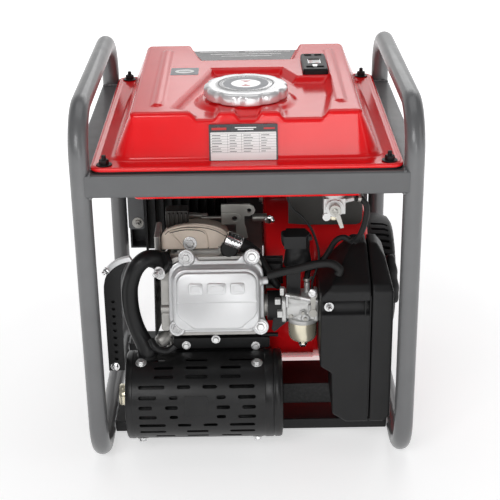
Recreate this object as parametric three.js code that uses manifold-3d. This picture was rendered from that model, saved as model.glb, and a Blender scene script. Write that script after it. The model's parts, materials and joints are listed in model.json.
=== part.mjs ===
// Open-frame inverter generator, in millimetres, +Z up.
// +X is the recoil starter side, -Y the service side with the valve cover.
// The origin is on the ground, under the middle of the frame.
import * as THREE from "three";
import { mergeVertices } from "three/addons/utils/BufferGeometryUtils.js";
import Module from "manifold-3d";

const wasm = await Module();
wasm.setup();

// Driving dimensions.
const FRAME = { width: 380, depth: 374, height: 449, tube: 22, bend: 50, sides: 14 };
const BAR = { size: 26, top: 375 }; // square bars under the tank flange
const BASE_RAIL = { bottom: 8, top: 22 };
const CRANK = { x: -39, y: 46, z: 150 }; // crank axis, and the cylinder's place along it
const CYLINDER_RISE = 17; // degrees that the cylinder leans up from level
const BORE = 35;
const THROW = 27.5;
const ROD = { length: 90, width: 18 };
const CASE = { left: -93, right: 18, floor: 62.3, top: 210, front: -24, back: 116 };
const DECK = { top: 62, thick: 4 }; // cradle plate under the engine
const SHROUD = { left: 20.3, right: 148, radius: 110, wall: 2.5 };
const RECOIL = { left: 148.3, right: 186, radius: 83, wall: 3 };
const MUFFLER = { left: -147, right: 38, y: -126, z: 73, radius: 53, shell: 2 };
const TANK = { flange: 377, lip: 3, top: 432, low: 424, bottom: 333, wall: 2 };
const FUEL_CAP = { x: 0.5, y: -80, radius: 47.5, top: 444 };
const CARB = { y: -115, z: 184 }; // middle of its throat, which runs along X
const AIR_BOX = { left: 81, joint: 139, right: 164, front: -165, back: -72, low: 53, top: 256 };
const INVERTER = { left: -140, right: -28, front: 136, back: 157 };
const PANEL = { half: 164, front: 184.5, back: 162.5, low: 140, top: 335 };
const GAP = 0.3; // clearance between neighbours that touch

// Finishes.
const GREY_PAINT = { color: 0x84868a, roughness: 0.38, metalness: 0.2 };
const RED_PAINT = { color: 0xe0262c, roughness: 0.22, metalness: 0.1 };
const BLACK_STEEL = { color: 0x1c1c1d, roughness: 0.5, metalness: 0.4 };
const BLACK_PLASTIC = { color: 0x2b2c2e, roughness: 0.6, metalness: 0 };
const RUBBER = { color: 0x141414, roughness: 0.85, metalness: 0 };
const CAST_ALUMINIUM = { color: 0xb4aea4, roughness: 0.5, metalness: 0.8 };
const BRIGHT_ALUMINIUM = { color: 0xd9dadb, roughness: 0.28, metalness: 0.95 };
const CHROME = { color: 0xe2e2e2, roughness: 0.12, metalness: 1 };
const STEEL = { color: 0x9c9c9a, roughness: 0.35, metalness: 0.9 };
const COPPER = { color: 0xa8673a, roughness: 0.45, metalness: 0.8 };
const FOAM = { color: 0x5a5a52, roughness: 1, metalness: 0 };
const WHITE_PLASTIC = { color: 0xd8d6cf, roughness: 0.6, metalness: 0 };

// ---------------------------------------------------------------- geometry helpers

const radians = (degrees) => (degrees * Math.PI) / 180;
const vec = (x, y, z) => new THREE.Vector3(x, y, z);
const AXIS = { x: vec(1, 0, 0), y: vec(0, 1, 0), z: vec(0, 0, 1) };
// The rope's way out of the starter cover, about the crank axis.
const SNOUT = {
  root: vec(166, -72, 28),
  pull: vec(8, -24, 8).normalize(),
  length: 18.6,
  radius: 10,
  hole: 3.2,
};
const TO_X = new THREE.Matrix4().makeBasis(AXIS.y, AXIS.z, AXIS.x);
const TO_Y = new THREE.Matrix4().makeBasis(AXIS.x, AXIS.z, vec(0, -1, 0));

function outline(points) {
  return new THREE.Shape(points.map(([x, y]) => new THREE.Vector2(x, y)));
}

// A regular polygon that stands for a circle, with a flat at the bottom.
function disc(radius, sides, x = 0, y = 0) {
  const points = [];
  for (let i = 0; i < sides; i += 1) {
    const turn = ((i + 0.5) / sides) * 2 * Math.PI - Math.PI / 2;
    points.push([x + radius * Math.cos(turn), y + radius * Math.sin(turn)]);
  }
  return outline(points);
}

function roundedRect(halfWidth, halfHeight, radius, x = 0, y = 0, steps = 4) {
  const points = [];
  const corners = [[1, 1, 0], [-1, 1, 90], [-1, -1, 180], [1, -1, 270]];
  for (const [sx, sy, start] of corners) {
    for (let i = 0; i <= steps; i += 1) {
      const turn = radians(start + (90 * i) / steps);
      points.push([
        x + sx * (halfWidth - radius) + radius * Math.cos(turn),
        y + sy * (halfHeight - radius) + radius * Math.sin(turn),
      ]);
    }
  }
  return outline(points);
}

function extrude(shape, depth) {
  return new THREE.ExtrudeGeometry(shape, { depth, bevelEnabled: false });
}

// Extrusions between two planes. The outline is drawn in (y, z), (x, z) or (x, y).
function alongX(shape, from, to) {
  return extrude(shape, to - from).applyMatrix4(TO_X).translate(from, 0, 0);
}

function alongY(shape, from, to) {
  return extrude(shape, to - from).applyMatrix4(TO_Y).translate(0, to, 0);
}

function alongZ(shape, from, to) {
  return extrude(shape, to - from).translate(0, 0, from);
}

function box(x0, x1, y0, y1, z0, z1) {
  const block = new THREE.BoxGeometry(x1 - x0, y1 - y0, z1 - z0);
  return block.translate((x0 + x1) / 2, (y0 + y1) / 2, (z0 + z1) / 2);
}

// A round bar between two points.
function bar(from, to, radius, sides = 12, endRadius = radius) {
  const run = to.clone().sub(from);
  const geometry = new THREE.CylinderGeometry(endRadius, radius, run.length(), sides);
  geometry.applyQuaternion(new THREE.Quaternion().setFromUnitVectors(AXIS.y, run.normalize()));
  const middle = from.clone().add(to).multiplyScalar(0.5);
  return geometry.translate(middle.x, middle.y, middle.z);
}

// A tube of constant section along a smooth route.
function hose(points, radius, steps, sides = 8) {
  const route = new THREE.CatmullRomCurve3(points.map(([x, y, z]) => vec(x, y, z)));
  return new THREE.ExtrudeGeometry(disc(radius, sides), {
    steps,
    extrudePath: route,
    bevelEnabled: false,
  });
}

// A closed route whose knots are also the stations of the tube around it.
class KnotLoop extends THREE.Curve {
  constructor(knots) {
    super();
    this.knots = [...knots, knots[0]];
  }

  getUtoTmapping(u) {
    return u;
  }

  getPoint(t, target = new THREE.Vector3()) {
    const place = Math.min(Math.max(t, 0), 1) * (this.knots.length - 1);
    const index = Math.min(Math.floor(place), this.knots.length - 2);
    return target.lerpVectors(this.knots[index], this.knots[index + 1], place - index);
  }
}

function toSolid(geometry) {
  const bare = geometry.clone();
  bare.deleteAttribute("normal");
  bare.deleteAttribute("uv");
  const merged = mergeVertices(bare, 1e-4);
  const mesh = new wasm.Mesh({
    numProp: 3,
    vertProperties: merged.attributes.position.array,
    triVerts: new Uint32Array(merged.index.array),
  });
  return new wasm.Manifold(mesh);
}

function toGeometry(manifold) {
  const mesh = manifold.getMesh();
  const geometry = new THREE.BufferGeometry();
  geometry.setAttribute("position", new THREE.BufferAttribute(mesh.vertProperties, 3));
  geometry.setIndex(new THREE.BufferAttribute(mesh.triVerts, 1));
  return geometry;
}

function join(...parts) {
  return toGeometry(parts.map(toSolid).reduce((whole, part) => whole.add(part)));
}

function cut(base, ...tools) {
  return toGeometry(tools.map(toSolid).reduce((left, tool) => left.subtract(tool), toSolid(base)));
}

function common(first, second) {
  return toGeometry(toSolid(first).intersect(toSolid(second)));
}

function piece(name, finish, geometry) {
  geometry.computeVertexNormals();
  const mesh = new THREE.Mesh(geometry, new THREE.MeshStandardMaterial(finish));
  mesh.name = name;
  return mesh;
}

function groupOf(...children) {
  const group = new THREE.Group();
  group.add(...children);
  return group;
}

// ---------------------------------------------------------------- frame

const LOOP_X = (FRAME.width - FRAME.tube) / 2;
const TUBE_RADIUS = FRAME.tube / 2;
// The tube's section has a flat below, so its centre is less than its radius up.
const TUBE_FLAT = TUBE_RADIUS * Math.cos(Math.PI / FRAME.sides);
const LEG_Y = FRAME.depth / 2 - TUBE_FLAT;
const LOOP_LOW = TUBE_FLAT;
const LOOP_HIGH = FRAME.height - TUBE_FLAT;

function frameLoop(name, x) {
  const bendSteps = 6;
  const corners = [
    [LEG_Y - FRAME.bend, LOOP_LOW + FRAME.bend, 270],
    [LEG_Y - FRAME.bend, LOOP_HIGH - FRAME.bend, 0],
    [-LEG_Y + FRAME.bend, LOOP_HIGH - FRAME.bend, 90],
    [-LEG_Y + FRAME.bend, LOOP_LOW + FRAME.bend, 180],
  ];
  const knots = [];
  for (const [y, z, start] of corners) {
    for (let i = 0; i <= bendSteps; i += 1) {
      const turn = radians(start + (90 * i) / bendSteps);
      knots.push(vec(x, y + FRAME.bend * Math.cos(turn), z + FRAME.bend * Math.sin(turn)));
    }
  }
  const loop = new KnotLoop(knots);
  const tube = new THREE.TubeGeometry(loop, knots.length, TUBE_RADIUS, FRAME.sides, true);
  return piece(name, GREY_PAINT, tube);
}

// The round legs' clearance, which the welded bars are coped around.
function legClearance(x, y) {
  return alongZ(disc(TUBE_RADIUS + GAP, FRAME.sides, x, y), 0, FRAME.height);
}

function crossbar(name, side) {
  const outer = side * (FRAME.depth / 2 - 1);
  const inner = outer - side * BAR.size;
  const low = BAR.top - BAR.size;
  let bars = box(-LOOP_X, LOOP_X, Math.min(outer, inner), Math.max(outer, inner), low, BAR.top);
  if (side > 0) {
    // The rear bar has two tabs that the control panel is bolted to.
    const tab = { near: 145.5, far: 167.5, back: 158, front: 162, low: 170 };
    for (const mirror of [-1, 1]) {
      const edges = [mirror * tab.near, mirror * tab.far].sort((a, b) => a - b);
      bars = join(bars, box(...edges, tab.back, tab.front, tab.low, low + 5));
    }
  }
  const coped = cut(bars, legClearance(-LOOP_X, side * LEG_Y), legClearance(LOOP_X, side * LEG_Y));
  const limit = LOOP_X - TUBE_RADIUS + 6;
  const trimmed = common(coped, box(-limit, limit, -FRAME.depth, FRAME.depth, 0, FRAME.height));
  return piece(name, GREY_PAINT, trimmed);
}

function sideRail(name, x) {
  const half = TUBE_RADIUS;
  const reach = LEG_Y - TUBE_RADIUS + 6;
  const rail = box(x - half, x + half, -reach, reach, BAR.top - BAR.size, BAR.top);
  const coped = cut(rail, legClearance(x, -LEG_Y), legClearance(x, LEG_Y));
  // The crossbars keep the corner next to the leg.
  const inside = FRAME.depth / 2 - 1 - BAR.size - GAP;
  return piece(name, GREY_PAINT, common(coped, box(x - half, x + half, -inside, inside, 0, 400)));
}

function baseRail(name, y0, y1) {
  const end = LOOP_X - TUBE_RADIUS - GAP;
  const wall = 3;
  const channel = cut(
    box(-end, end, y0, y1, BASE_RAIL.bottom, BASE_RAIL.top),
    box(-end - 1, end + 1, y0 + wall, y1 - wall, BASE_RAIL.bottom - 1, BASE_RAIL.top - wall),
  );
  return piece(name, BLACK_STEEL, channel);
}

// Plate that carries the engine. It is open where the fan shroud hangs through it.
function engineCradle() {
  const low = DECK.top - DECK.thick;
  const lip = 34;
  return piece("engine_cradle", BLACK_STEEL, join(
    box(-110, 41, -70, -28, low, DECK.top),
    box(40, 140, -88, -28, low, DECK.top),
    box(40, 140, -88, -85, lip, DECK.top),
    box(-110, 15, -29, 125, low, DECK.top),
    box(-110, 140, 112, 136, low, DECK.top),
    box(-110, 140, 133, 136, lip, DECK.top),
  ));
}

function rubberMount(name, x, y) {
  const low = BASE_RAIL.top + GAP;
  const high = DECK.top - DECK.thick - GAP;
  const waist = 9;
  const rim = 11.5;
  const flare = 5;
  const profile = [
    [0, low], [rim, low], [waist, low + flare], [waist, high - flare], [rim, high], [0, high],
  ].map(([r, z]) => new THREE.Vector2(r, z));
  const body = new THREE.LatheGeometry(profile, 12).rotateX(Math.PI / 2);
  return piece(name, RUBBER, body.translate(x, y, 0));
}

function frame() {
  return groupOf(
    frameLoop("left_frame_loop", -LOOP_X),
    frameLoop("right_frame_loop", LOOP_X),
    crossbar("front_crossbar", -1),
    crossbar("rear_crossbar", 1),
    sideRail("left_side_rail", -LOOP_X),
    sideRail("right_side_rail", LOOP_X),
    baseRail("front_base_rail", -106, -44),
    baseRail("rear_base_rail", 98, 138),
    engineCradle(),
    rubberMount("rubber_mount_front_left", -95, -57),
    rubberMount("rubber_mount_front_right", 115, -70),
    rubberMount("rubber_mount_rear_left", -95, 119),
    rubberMount("rubber_mount_rear_right", 115, 119),
  );
}

// ---------------------------------------------------------------- fuel tank

// A rounded box whose half sizes change from level to level.
function tieredBox(levels, radius) {
  const [first] = levels;
  const shape = roundedRect(first.x, first.y, radius);
  const steps = levels.length - 1;
  const geometry = new THREE.ExtrudeGeometry(shape, { depth: steps, steps, bevelEnabled: false });
  const points = geometry.attributes.position;
  for (let i = 0; i < points.count; i += 1) {
    const level = levels[Math.round(points.getZ(i))];
    points.setXYZ(
      i,
      (points.getX(i) * level.x) / first.x,
      (points.getY(i) * level.y) / first.y,
      level.z,
    );
  }
  return geometry;
}

function tankBody(inset) {
  const lift = inset;
  return tieredBox([
    { x: 126 - inset, y: 148 - inset, z: TANK.bottom + lift },
    { x: 134 - inset, y: 154 - inset, z: TANK.bottom + 8 + lift },
    { x: 139 - inset, y: 156 - inset, z: TANK.flange + 4 },
    { x: 132 - inset, y: 152 - inset, z: TANK.top - 14 },
    { x: 125 - inset, y: 148 - inset, z: TANK.top - lift },
  ], 24);
}

// The lowered part of the tank's top: a band from the front edge round the filler,
// widening to the right, and a label recess at the back.
function lowTop(inset) {
  const grow = inset;
  const front = outline([
    [-74 - grow, -160], [84 + grow, -160], [95 + grow, -20 + grow],
    [40, 30 + grow], [-52 - grow, -25 + grow],
  ]);
  const back = outline([
    [-56 - grow, 85 - grow], [62 + grow, 85 - grow], [70 + grow, 160], [-70 - grow, 160],
  ]);
  const floor = TANK.low - inset;
  return [alongZ(front, floor, TANK.top + 5), alongZ(back, floor, TANK.top + 5)];
}

function fuelTank() {
  const lip = alongZ(roundedRect(168, 181, 12), TANK.flange, TANK.flange + TANK.lip);
  const neck = alongZ(disc(40, 24, FUEL_CAP.x, FUEL_CAP.y), TANK.low - 1, TANK.low + 6);
  const shell = join(cut(tankBody(0), ...lowTop(0)), lip, neck);
  const hollow = cut(tankBody(TANK.wall), ...lowTop(TANK.wall));
  const filler = alongZ(disc(28, 24, FUEL_CAP.x, FUEL_CAP.y), TANK.low - 6, TANK.low + 8);
  const outlet = alongZ(disc(5, 12, 97, -132), TANK.bottom - 1, TANK.bottom + 4);
  const gaugeHole = alongZ(disc(12, 16, 83, 32), TANK.top - 6, TANK.top + 2);
  return piece("fuel_tank", RED_PAINT, cut(shell, hollow, filler, outlet, gaugeHole));
}

function fuelCap() {
  const lobes = 11;
  const perLobe = 4;
  const points = [];
  for (let i = 0; i < lobes * perLobe; i += 1) {
    const turn = (i / (lobes * perLobe)) * 2 * Math.PI;
    const dip = 2.5 * Math.max(0, Math.cos(turn * lobes)) ** 2;
    const reach = FUEL_CAP.radius - dip;
    points.push([reach * Math.cos(turn), reach * Math.sin(turn)]);
  }
  const skirt = TANK.low + 6 + GAP;
  const grip = alongZ(outline(points), skirt, FUEL_CAP.top - 2);
  const crown = alongZ(disc(36, 24), FUEL_CAP.top - 3, FUEL_CAP.top);
  const plug = alongZ(disc(26, 24), TANK.low - 8, skirt + 1);
  const hollow = alongZ(disc(22, 16), TANK.low - 9, FUEL_CAP.top - 4);
  const cap = piece("fuel_cap", CHROME, cut(join(grip, crown, plug), hollow));
  cap.position.set(FUEL_CAP.x, FUEL_CAP.y, 0);
  return cap;
}

// The sender's seat, window and lid, hollow below for the pointer.
function fuelGauge() {
  const low = TANK.top + GAP;
  const body = alongZ(roundedRect(15, 37, 4), low, low + 6);
  const pocket = box(-5, 5, -14, 14, low - 1, low + 4.5);
  const gauge = piece("fuel_gauge", BLACK_PLASTIC, cut(body, pocket));
  gauge.position.set(83, 32, 0);
  return gauge;
}

// Float, arm and pointer in one: the arm turns about a pin under the gauge.
function fuelFloat() {
  const hub = alongX(disc(4, 12), -3, 3);
  const arm = bar(vec(0, 0, 0), vec(0, -78, -52), 1.5, 8);
  const float = alongX(roundedRect(9, 6, 3, -80, -54, 2), -14, 14);
  const pointer = bar(vec(0, 0, 0), vec(0, -5, 22), 1.5, 8, 0.8);
  const sender = piece("fuel_float", WHITE_PLASTIC, join(hub, arm, float, pointer));
  sender.position.set(83, 32, 414);
  return sender;
}

function fuelTap() {
  const body = box(-12, 12, -9, 9, -24, -6);
  const stem = alongZ(disc(4.5, 12), -8, 2.5);
  const flange = alongZ(disc(11, 16), -7, -GAP);
  const face = alongY(disc(10, 20, 0, -16), -13, -8);
  const ear = alongY(disc(4.5, 12, -9, -27), -11, -6);
  const spout = bar(vec(10, 0, -12), vec(22, 0, -9), 3, 10);
  const tap = piece("fuel_tap", BRIGHT_ALUMINIUM, join(body, stem, flange, face, ear, spout));
  tap.position.set(97, -132, TANK.bottom);
  return tap;
}

function fuelTapLever() {
  const hub = alongY(disc(6.5, 16), -6, 0);
  const handle = alongY(outline([[-3, 0], [4, 0], [10, -21], [6, -22]]), -5, -2);
  const lever = piece("fuel_tap_lever", STEEL, join(hub, handle));
  lever.position.set(97, -132 - 13 - GAP, TANK.bottom - 16);
  return lever;
}

function fuelHose() {
  return piece("fuel_hose", RUBBER, hose([
    [120.8, -132, 324.5], [128, -132, 323], [134, -131, 312], [132, -130, 292], [126, -126, 274],
    [119, -118, 266], [110, -113, 268.5], [101.5, -111, 264], [95, -108, 252], [89, -105, 240],
    [78, -104, 229], [71, -107, 227], [68, -114, 220], [68, -115, 214.6],
  ], 3.3, 20));
}

function tank() {
  return groupOf(
    fuelTank(), fuelCap(), fuelGauge(), fuelFloat(), fuelTap(), fuelTapLever(), fuelHose(),
  );
}

// ---------------------------------------------------------------- engine

// The engine's own frame has its origin on the crank axis, under the cylinder.
const CYLINDER_TURN = Math.PI / 2 - radians(CYLINDER_RISE);
const HEAD_FACE = 150; // crank axis to the head gasket
const COVER_FACE = 205; // crank axis to the valve cover's outer face

// Turns a shape drawn about +Z so that it lies along the cylinder.
function upCylinder(geometry) {
  return geometry.rotateX(CYLINDER_TURN);
}

function crankcase() {
  const left = CASE.left - CRANK.x;
  const right = CASE.right - CRANK.x;
  const front = CASE.front - CRANK.y;
  const back = CASE.back - CRANK.y;
  const low = CASE.floor - CRANK.z;
  const high = CASE.top - CRANK.z;
  const wall = 7;
  const side = outline([
    [front, low], [back, low], [back, high - 25], [back - 25, high], [front + 18, high],
    [front, high - 18],
  ]);
  const inside = roundedRect(
    (back - front) / 2 - wall, (high - low) / 2 - wall, 14,
    (back + front) / 2, (high + low) / 2, 3,
  );
  const fins = [];
  for (let i = 0; i < 5; i += 1) {
    const z = 84 + i * 14;
    fins.push(upCylinder(alongZ(roundedRect(52, 49, 8, 0, 0, 1), z, z + 3)));
  }
  const barrel = upCylinder(alongZ(disc(BORE + 7, 20), 50, HEAD_FACE - GAP));
  const filler = bar(vec(-30, 60, -60), vec(-30, 76, -54), 12, 16);
  const body = join(alongX(side, left, right), barrel, filler, ...fins);
  return piece("crankcase", CAST_ALUMINIUM, cut(
    body,
    alongX(inside, left - 1, right - wall),
    upCylinder(alongZ(disc(BORE + GAP, 20), 0, HEAD_FACE + 1)),
    alongX(disc(14, 20), right - wall - 1, right + 1),
    bar(vec(-30, 54, -62.3), vec(-30, 80, -52.5), 6, 12),
  ));
}

function crankcaseCover() {
  const front = CASE.front - CRANK.y;
  const back = CASE.back - CRANK.y;
  const low = CASE.floor - CRANK.z;
  const high = CASE.top - CRANK.z;
  const right = CASE.left - CRANK.x - GAP;
  const plate = outline([
    [front, low], [back, low], [back, high - 25], [back - 25, high], [front + 18, high],
    [front, high - 18],
  ]);
  return piece("crankcase_cover", CAST_ALUMINIUM, join(
    alongX(plate, right - 8, right),
    alongX(disc(34, 20), right - 14, right - 7),
  ));
}

// One crank web on the alternator side. The pin ends just short of the rod.
function crankshaft() {
  const web = ROD.width / 2 + 1.5;
  const weight = common(
    alongX(disc(40, 20), web, web + 12),
    box(web, web + 12, -40, 40, -15, 40),
  );
  const cheek = alongX(roundedRect(16, 26, 12, 0, -16, 3), web, web + 12);
  const pin = alongX(disc(13, 16, 0, -THROW), web - 1, web + 1);
  const shaft = alongX(disc(12.5, 16), web + 1, 186);
  const crank = join(weight, cheek, pin, shaft);
  // At rest the pin points away from the cylinder head.
  return piece("crankshaft", STEEL, crank.rotateX(CYLINDER_TURN));
}

function piston() {
  const crown = ROD.length - THROW + 26;
  const body = alongZ(disc(BORE, 20), crown - 48, crown);
  const hollow = alongZ(disc(BORE - 5, 16), crown - 49, crown - 9);
  const grooves = [];
  for (const z of [crown - 6, crown - 12]) {
    const groove = cut(
      alongZ(disc(BORE + 1, 20), z, z + 1.5),
      alongZ(disc(BORE - 1.5, 20), z - 1, z + 2.5),
    );
    grooves.push(groove);
  }
  const pin = alongX(disc(8, 16, 0, crown - 26), -BORE + 3, BORE - 3);
  return piece("piston", BRIGHT_ALUMINIUM, join(cut(body, hollow, ...grooves), pin));
}

function connectingRod() {
  const small = ROD.length - THROW;
  const half = ROD.width / 2;
  const shank = box(-half + 5, half - 5, -8, 8, -THROW + 20, small - 9);
  const eyes = join(
    alongX(disc(22, 20, 0, -THROW), -half, half),
    alongX(disc(14, 16, 0, small), -half, half),
    shank,
  );
  return piece("connecting_rod", STEEL, cut(
    eyes,
    alongX(disc(13.3, 16, 0, -THROW), -half - 1, half + 1),
    alongX(disc(8.3, 16, 0, small), -half - 1, half + 1),
  ));
}

function cylinderHead() {
  const top = HEAD_FACE + 28;
  const block = alongZ(roundedRect(54, 46, 9, 0, 0, 2), HEAD_FACE, top);
  const grooves = [];
  for (let i = 0; i < 2; i += 1) {
    const z = HEAD_FACE + 6 + i * 9;
    grooves.push(cut(
      alongZ(roundedRect(60, 52, 9, 0, 0, 1), z, z + 4),
      alongZ(roundedRect(44, 38, 9, 0, 0, 1), z - 1, z + 5),
    ));
  }
  const chamber = alongZ(disc(BORE - 4, 20), HEAD_FACE - 1, HEAD_FACE + 8);
  const intake = bar(vec(40, -14, 163.5), vec(59.6, -14, 163.5), 13, 14);
  const exhaust = bar(vec(-36, 34, 163), vec(-54, 37, 164), 12, 14);
  const plugHole = bar(vec(11, 24, 164), vec(11, 50, 167), 8.5, 12);
  const rockerBay = alongZ(roundedRect(42, 33, 12, 0, 0, 2), top - 7, top + 1);
  return piece("cylinder_head", CAST_ALUMINIUM, cut(
    join(cut(block, ...grooves), intake, exhaust),
    chamber, plugHole, rockerBay,
  ));
}

function valveCover() {
  const low = HEAD_FACE + 28 + GAP;
  const face = COVER_FACE;
  const lugs = [];
  for (const [x, y] of [[-33, 46], [43, 46], [-45, -36], [52, -36]]) {
    lugs.push(alongZ(disc(9, 14, x, y), low, low + 9));
  }
  const flange = alongZ(roundedRect(56, 43, 16, 0, 0, 3), low, low + 6);
  const dome = alongZ(roundedRect(49, 35, 16, 1, -1, 4), low, face - 4);
  const panel = alongZ(roundedRect(43, 30, 14, 2, -2, 4), face - 6, face);
  const hollow = alongZ(roundedRect(44, 30, 13, 1, -1, 2), low - 1, face - 8);
  const spout = bar(vec(52, 18, low + 12), vec(61, 19, low + 10), 4.6, 12);
  return piece("valve_cover", BRIGHT_ALUMINIUM, cut(
    join(flange, dome, panel, spout, bar(vec(44, 17, low + 11), vec(53, 18, low + 12), 6), ...lugs),
    hollow,
  ));
}

// Sheet that leads the cooling air over the cylinder. Its front is closed.
function airGuide() {
  const middle = -25;
  const halfWidth = 40;
  const foot = 50;
  const spring = 65;
  const rise = 16;
  const wall = 2.5;
  const back = 66;
  const front = 134;
  const arch = (inset) => {
    const points = [[middle - halfWidth + inset, foot - inset]];
    const steps = 10;
    for (let i = 0; i <= steps; i += 1) {
      const turn = Math.PI - (Math.PI * i) / steps;
      points.push([
        middle + (halfWidth - inset) * Math.cos(turn),
        spring + (rise - inset) * Math.sin(turn),
      ]);
    }
    points.push([middle + halfWidth - inset, foot - inset]);
    return outline(points.reverse());
  };
  return piece("cylinder_air_guide", CAST_ALUMINIUM, cut(
    alongZ(arch(0), back, front),
    alongZ(arch(wall), back - 1, front - wall),
  ));
}

function liftingBracket() {
  return piece("lifting_bracket", STEEL, cut(
    join(
      alongY(outline([
        [7, 105], [24, 105], [28, 107], [30.5, 112], [30.5, 115], [41, 115], [46, 117.5],
        [48.3, 122.3], [46, 127.5], [41, 130.5], [7, 130.5],
      ]), -80, -77),
      alongY(outline([[25, 86], [39, 86], [37, 98], [35, 104], [35, 116], [24, 116]]), -80, -77),
    ),
    alongY(disc(3.4, 12, 23, 112.4), -81, -76),
    alongY(disc(2.7, 12, 40.8, 122.2), -81, -76),
  ));
}

function sparkPlug() {
  return piece("spark_plug", CHROME, join(
    bar(vec(11, 28, 164.5), vec(11, 50, 167), 5, 12),
    bar(vec(11, 49, 166.9), vec(11, 56, 167.7), 8, 6),
    bar(vec(11, 55, 167.6), vec(11, 61, 168.3), 5, 12, 3),
  ));
}

function oilDipstick() {
  const cap = bar(vec(0, 0, GAP), vec(0, 0, 10), 13.5, 10);
  const stick = bar(vec(0, 0, -30), vec(0, 0, 1), 2.5, 8);
  const collar = bar(vec(0, 0, -6), vec(0, 0, 1), 5.5, 12);
  const dipstick = piece("oil_dipstick", BLACK_PLASTIC, join(cap, stick, collar));
  dipstick.position.set(-30, 76, -54);
  dipstick.quaternion.setFromUnitVectors(AXIS.z, vec(0, 16, 6).normalize());
  return dipstick;
}

function engine() {
  const inclined = groupOf(
    piston(), connectingRod(), cylinderHead(), valveCover(), airGuide(), sparkPlug(),
  );
  inclined.rotation.x = CYLINDER_TURN;
  const whole = groupOf(
    crankcase(), crankcaseCover(), crankshaft(), liftingBracket(), oilDipstick(), inclined,
  );
  whole.position.set(CRANK.x, CRANK.y, CRANK.z);
  return whole;
}

// ---------------------------------------------------------------- alternator and starter

// These are drawn about the crank axis, with x measured on the object.
function stator() {
  const teeth = [];
  const count = 12;
  for (let i = 0; i < count; i += 1) {
    const tooth = box(24, 54, 44, 70, -6, 6);
    teeth.push(tooth.rotateX((i / count) * 2 * Math.PI));
  }
  const core = alongX(disc(50, 20), SHROUD.left + SHROUD.wall + GAP, 54);
  return piece("stator", COPPER, cut(join(core, ...teeth), alongX(disc(20, 20), 10, 60)));
}

function rotor() {
  const cup = cut(alongX(disc(86, 24), 28, 70), alongX(disc(74, 24), 27, 62));
  const hub = alongX(disc(18, 16), 40, 70);
  const blades = [];
  const count = 9;
  for (let i = 0; i < count; i += 1) {
    const blade = box(69, 98, 48, 86, -1.5, 1.5);
    blades.push(blade.rotateX((i / count) * 2 * Math.PI));
  }
  const starterCup = alongX(disc(36, 16), 69, 140);
  const hollow = alongX(disc(30, 16), 100, 141);
  return piece("rotor_and_fan", CAST_ALUMINIUM, cut(
    join(cup, hub, starterCup, ...blades),
    hollow,
    alongX(disc(12.5 + GAP, 16), 20, 150),
  ));
}

function fanShroud() {
  const { left, right, radius, wall } = SHROUD;
  const drum = alongX(disc(radius, 36), left, right);
  return piece("fan_shroud", RED_PAINT, cut(
    drum,
    alongX(disc(radius - wall, 36), left + wall, right - wall),
    alongX(disc(42, 20), left - 1, left + wall + 1),
    alongX(disc(76, 24), right - wall - 1, right + 1),
  ));
}

// A point on the starter rope's line, at a distance beyond the end of the snout.
function snoutTip(beyond) {
  return SNOUT.root.clone().addScaledVector(SNOUT.pull, SNOUT.length + beyond);
}

function recoilCover() {
  const { left, right, radius, wall } = RECOIL;
  const drum = alongX(disc(radius, 28), left, right);
  const slots = [];
  const count = 12;
  for (let i = 0; i < count; i += 1) {
    const slot = box(right - wall - 1, right + 1, 46, 70, -3, 3);
    slots.push(slot.rotateX((i / count) * 2 * Math.PI));
  }
  const spindle = alongX(disc(7, 16), 158, right - 1);
  const snout = bar(SNOUT.root, snoutTip(0), SNOUT.radius, 14);
  const rope = bar(snoutTip(-SNOUT.length - 16), snoutTip(8), SNOUT.hole, 8);
  const shell = cut(drum, alongX(disc(radius - wall, 28), left - 1, right - wall), ...slots);
  return piece("recoil_cover", BLACK_PLASTIC, cut(join(shell, spindle, snout), rope));
}

function recoilPulley() {
  const inner = RECOIL.left + 6;
  return piece("recoil_pulley", BLACK_PLASTIC, cut(
    join(
      alongX(disc(40, 24), inner, inner + 3),
      alongX(disc(33, 24), inner + 2, inner + 16),
      alongX(disc(40, 24), inner + 15, inner + 18),
    ),
    alongX(disc(7 + GAP, 16), inner - 1, inner + 19),
  ));
}

// The turns of rope on the pulley.
function recoilRope() {
  const inner = RECOIL.left + 6;
  return piece("recoil_rope", RUBBER, cut(
    alongX(disc(39, 24), inner + 3 + GAP, inner + 15 - GAP),
    alongX(disc(33 + GAP, 24), inner, inner + 18),
  ));
}

function recoilHandle() {
  const halfGrip = 30;
  const stemLength = 12;
  const grip = bar(vec(0, 0, -halfGrip), vec(0, 0, halfGrip), 7.5, 14);
  const stem = bar(vec(0, stemLength, 0), vec(0, 0, 0), 5, 12);
  const handle = piece("recoil_handle", BLACK_PLASTIC, join(grip, stem));
  handle.quaternion.setFromUnitVectors(vec(0, -1, 0), SNOUT.pull);
  handle.position.copy(snoutTip(stemLength + 0.5));
  return handle;
}

function ignitionCoil() {
  return piece("ignition_coil", BLACK_PLASTIC, join(
    box(-10, 8, -12, 12, -13, 13),
    box(-13, 11, -4, 4, -17, 17),
    bar(vec(0, -11, -4), vec(0, -17, -4), 5.5, 12),
  ));
}

function alternator() {
  const group = groupOf(
    stator(), rotor(), fanShroud(), recoilCover(), recoilPulley(), recoilRope(), recoilHandle(),
  );
  group.position.set(0, CRANK.y, CRANK.z);
  const coil = ignitionCoil();
  coil.position.set(30, -80, 214);
  return groupOf(group, coil);
}

// Moulded cap on the spark plug, with its lead to the coil.
function ignitionLead() {
  return piece("ignition_lead", RUBBER, join(
    bar(vec(-31, -96, 266), vec(-8, -97, 261), 6.5, 12),
    bar(vec(-10, -97, 261.5), vec(8, -97, 249), 7.5, 12, 6),
    hose([
      [5, -97, 251], [17, -98, 245], [26, -102, 229], [31, -107, 216], [31, -106, 210],
      [30, -100, 210], [30, -97.6, 210],
    ], 3.6, 16),
  ));
}

// ---------------------------------------------------------------- intake

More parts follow.
